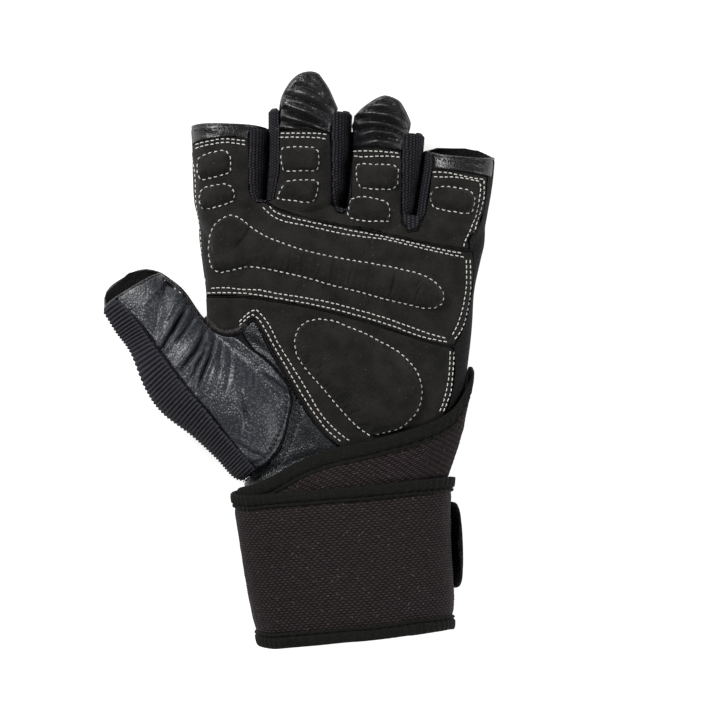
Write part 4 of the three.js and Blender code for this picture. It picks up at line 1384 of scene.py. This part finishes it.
def strap_points(turns, distances, heights):
    """Points of the strap at turns by distances from its upper edge, raised by heights off the glove."""
    edge, layer = strap_path(turns)
    y = edge[:, None] + distances / UNIT_MM
    rows_y = (HAND[:, 1] + HAND[:, 3]) / 2
    order = rows_y[::-1]
    beyond = np.clip((y - rows_y[0]) / (rows_y[0] - rows_y[1]), 0, 0.5)

    def mixed(column):
        return np.interp(y, order, HAND[::-1, column]) + beyond * (HAND[0, column] - HAND[1, column])

    offset = STRAP_CLEARANCE + layer[:, None] * LAYER_PITCH + heights
    angle = turns[:, None] * np.pi
    left, right = plan(np.stack([mixed(0), y], -1)), plan(np.stack([mixed(2), y], -1))
    half_width = (right[..., 0] - left[..., 0]) / 2 + offset
    floor = mixed(5) * 2 * LAYER_PITCH
    top = mixed(4) * PALM_DEPTH
    sag = SAG * (top - floor)
    x = (left[..., 0] + right[..., 0]) / 2 + half_width * blunt(np.cos(angle))
    z = (top + floor - sag) / 2 + ((top - floor + sag) / 2 + offset) * blunt(np.sin(angle))
    return np.stack([x, left[..., 1], np.maximum(floor - offset, z)], -1)


def band(turns, distances, heights):
    """A closed band, whose ring of points at every turn is given as distances and heights."""
    points = strap_points(turns, distances, heights)
    return mesh_object(points.reshape(-1, 3), capped(len(turns), points.shape[1]))


def strap_turns(start, end, fine, coarse):
    """Turns along the strap, close together over the palm side and wide apart under the wrist."""
    turns = [start]
    while turns[-1] < end:
        seen = (turns[-1] % 2) < 1.12 or (turns[-1] % 2) > 1.9
        turns.append(turns[-1] + (fine if seen else coarse))
    return np.array(turns[:-1] + [end])


def woven_strap():
    turns = strap_turns(STRAP_PATH[0, 0], STRAP_PATH[-1, 0], 0.0045, 0.012)
    across = np.arange(TAPE_WIDTH * 0.45, STRAP_WIDTH - TAPE_WIDTH * 0.45, 0.42)
    back_across = across[::-10]
    middle = strap_points(turns, np.full((len(turns), 1), STRAP_WIDTH / 2), np.ones((len(turns), 1)))[:, 0]
    run = np.concatenate([[0], np.cumsum(np.linalg.norm(np.diff(middle, axis=0), axis=1))])
    weft = np.abs(np.cos(np.pi * across / WEAVE_ROW))[None, :]
    row = np.floor(across / WEAVE_ROW + 0.5)[None, :]
    warp = np.cos(2 * np.pi * (run[:, None] / WEAVE_PITCH + 0.5 * row))
    weave = 0.22 * weft * (0.6 + 0.4 * warp)
    flat = np.zeros(len(run) * len(across))
    place = np.column_stack([run.repeat(len(across)), np.tile(across, len(run)), flat])
    slack = 0.45 * slow_noise(place * [1, 0.8, 1], 13.0, 51) + 0.2 * slow_noise(place, 4.0, 52)
    inside = np.minimum(across - across[0], across[-1] - across)[None, :]
    dip = np.exp(-(inside / 3.2) ** 2)
    outer = STRAP_THICKNESS - 0.9 * dip + (weave + slack.reshape(len(run), -1)) * (1 - dip)
    inner = np.full((len(turns), len(back_across)), 0.1)
    distances = np.tile(np.concatenate([across, back_across]), (len(turns), 1))
    piece = band(turns, distances, np.hstack([outer, inner]))
    return lay_out(piece, distances.ravel(), np.repeat(run, distances.shape[1]))


def tape(far_edge, seed):
    """Folded tape sewn over one edge of the strap, a flat loop in section, puckered along its thread."""
    turns = strap_turns(STRAP_PATH[0, 0], STRAP_PATH[-1, 0], 0.008, 0.02)
    around = circle(32)
    power = blunt(np.sin(around), 0.55)
    reach = blunt(np.cos(around), 0.75)
    run = (turns * HALF_TURN_MM)[:, None]
    waver = 0.3 * slow_noise(np.column_stack([run[:, 0], run[:, 0] * 0, run[:, 0] * 0]), 16.0, seed)[:, None]
    width = np.interp(run, [110, 175], [TAPE_WIDTH, 0.76 * TAPE_WIDTH])
    inward = width / 2 * (1 - reach)[None, :] + waver * (1 - reach)[None, :] / 2
    distances = STRAP_WIDTH - inward if far_edge else inward
    half = TAPE_THICKNESS / 2
    pucker = 0.3 * np.sin(2 * np.pi * run / 3.1 + 1.3 * np.sin(run / 7)) * np.clip(power, 0, 1)[None, :]
    seam = 0.75 * np.exp(-((reach[None, :] + 0.5) / 0.12) ** 2) * np.clip(power, 0, 1)[None, :]
    heights = half + 0.1 + half * power[None, :] + pucker - seam
    return band(turns, distances, heights)


def closing_tab():
    """The strap's free end: flat, with a rounded tip and a pressed rim, standing off a little."""
    tab_middle = STRAP_WIDTH * CLOSING_MIDDLE
    start = STRAP_PATH[-1, 0] + CLOSING_GAP
    turns = np.linspace(start, start + CLOSING_TURNS, 60)
    share = np.linspace(0, 1, len(turns))[:, None]
    half_width = CLOSING_HALF_WIDTH * np.sqrt(1 - 0.96 * np.clip((share - 0.55) / 0.45, 0, 1) ** 2)
    ease = np.clip((share - 0.1) / 0.52, 0, 1)
    lift = (LAYER_PITCH + CLOSING_LIFT) * ease ** 2 * (3 - 2 * ease)
    around = circle(48)
    power = blunt(np.sin(around), 0.4)
    reach = blunt(np.cos(around), 0.9)
    rim = 0.25 * np.exp(-((np.abs(reach) - 0.86) / 0.05) ** 2) * np.clip(power, 0, 1)
    heights = lift + STRAP_THICKNESS / 2 * (1 + power)[None, :] - rim[None, :]
    return band(turns, tab_middle - half_width * reach[None, :], heights)


webbing = knit_material("webbing", (0.0045, 0.0032, 0.0036, 1), (0.041, 0.03, 0.031, 1), WEAVE_ROW,
                        WEAVE_PITCH, {"Lint": (0.13, 0.12, 0.11, 1), "Spacing": 1.9, "Speck": 0.13})
edge_tape = woven_material("edge_tape", (0.0035, 0.0035, 0.003, 1), (0.021, 0.021, 0.0185, 1), 0.6,
                           (0.05, 0.05, 0.045, 1))
finished(woven_strap(), "wrist_strap_webbing", webbing, ["wrist_strap"])
finished(tape(False, 61), "upper_binding_tape", edge_tape, ["strap_upper_binding"])
finished(tape(True, 62), "lower_binding_tape", edge_tape, ["strap_lower_binding"])
# The closing tab's cloth is the binding tape's cloth painted about three times paler: painted light, which
# lifts the tab out of the shade it lies in.
closing_cloth_painted_lighter = woven_material("closing_cloth_painted_lighter", (0.008, 0.008, 0.008, 1), (0.06, 0.06, 0.056, 1), 0.8,
                              (0.1, 0.1, 0.095, 1))
finished(closing_tab(), "closing_tab_painted_lighter", closing_cloth_painted_lighter, ["closing_tab"])

# Surface and camera: the glove lies on a pale table top with light from a window at the upper left, and
# the camera looks straight down on it, as the photo was taken.
FRAME_MM = 273.6
CAMERA_AIM = (0.0231, -0.0007)
FOCUS_HEIGHT = 0.024
TABLE_GLOW, SKY_LIGHT = 0.86, 0.14
LENS = 260.0
SENSOR = 36.0
table_mesh = bpy.data.meshes.new("table_top")
table_mesh.from_pydata([(-3, -3, 0), (3, -3, 0), (3, 3, 0), (-3, 3, 0)], [], [(0, 1, 2, 3)])
table_top = linked("table_top", table_mesh)
paper, paper_tree, paper_shader = new_material("pale_paper")
paper_grain = noisy(paper_tree, node(paper_tree, "TexCoord").outputs["Object"], 40.0)
paper_tone = blended(paper_tree, paper_grain, (0.4, 0.4, 0.4, 1), (0.42, 0.42, 0.42, 1))
paper_tree.links.new(paper_tone, paper_shader.inputs["Base Color"])
paper_shader.inputs["Roughness"].default_value = 0.9
paper_shader.inputs["Emission Color"].default_value = (1, 1, 1, 1)
paper_shader.inputs["Emission Strength"].default_value = TABLE_GLOW
table_top.data.materials.append(paper)

camera_data = bpy.data.cameras.new("camera")
camera_data.lens = LENS
camera_data.sensor_width = SENSOR
camera = linked("camera", camera_data)
camera.location = (*CAMERA_AIM, FRAME_MM / MM_PER_METRE * LENS / SENSOR + FOCUS_HEIGHT)
bpy.context.scene.camera = camera

world = bpy.data.worlds.new("soft_sky")
world.use_nodes = True
world.node_tree.nodes["Background"].inputs["Color"].default_value = (1, 1, 1, 1)
world.node_tree.nodes["Background"].inputs["Strength"].default_value = SKY_LIGHT
bpy.context.scene.world = world
# Each lamp: its place, its size and its power
LAMPS = {"window": ((-0.62, 0.66, 0.8), 0.34, 16.0), "far_wall": ((0.8, -0.3, 0.6), 0.6, 7.0)}
for name, (place, size, power) in LAMPS.items():
    lamp_data = bpy.data.lights.new(name, "AREA")
    lamp_data.size = size
    lamp_data.energy = power
    lamp = linked(name, lamp_data)
    lamp.location = place
    lamp.rotation_euler = (Vector((0, 0, 0.02)) - Vector(place)).to_track_quat("-Z", "Y").to_euler()
bpy.context.scene.view_settings.view_transform = "Standard"
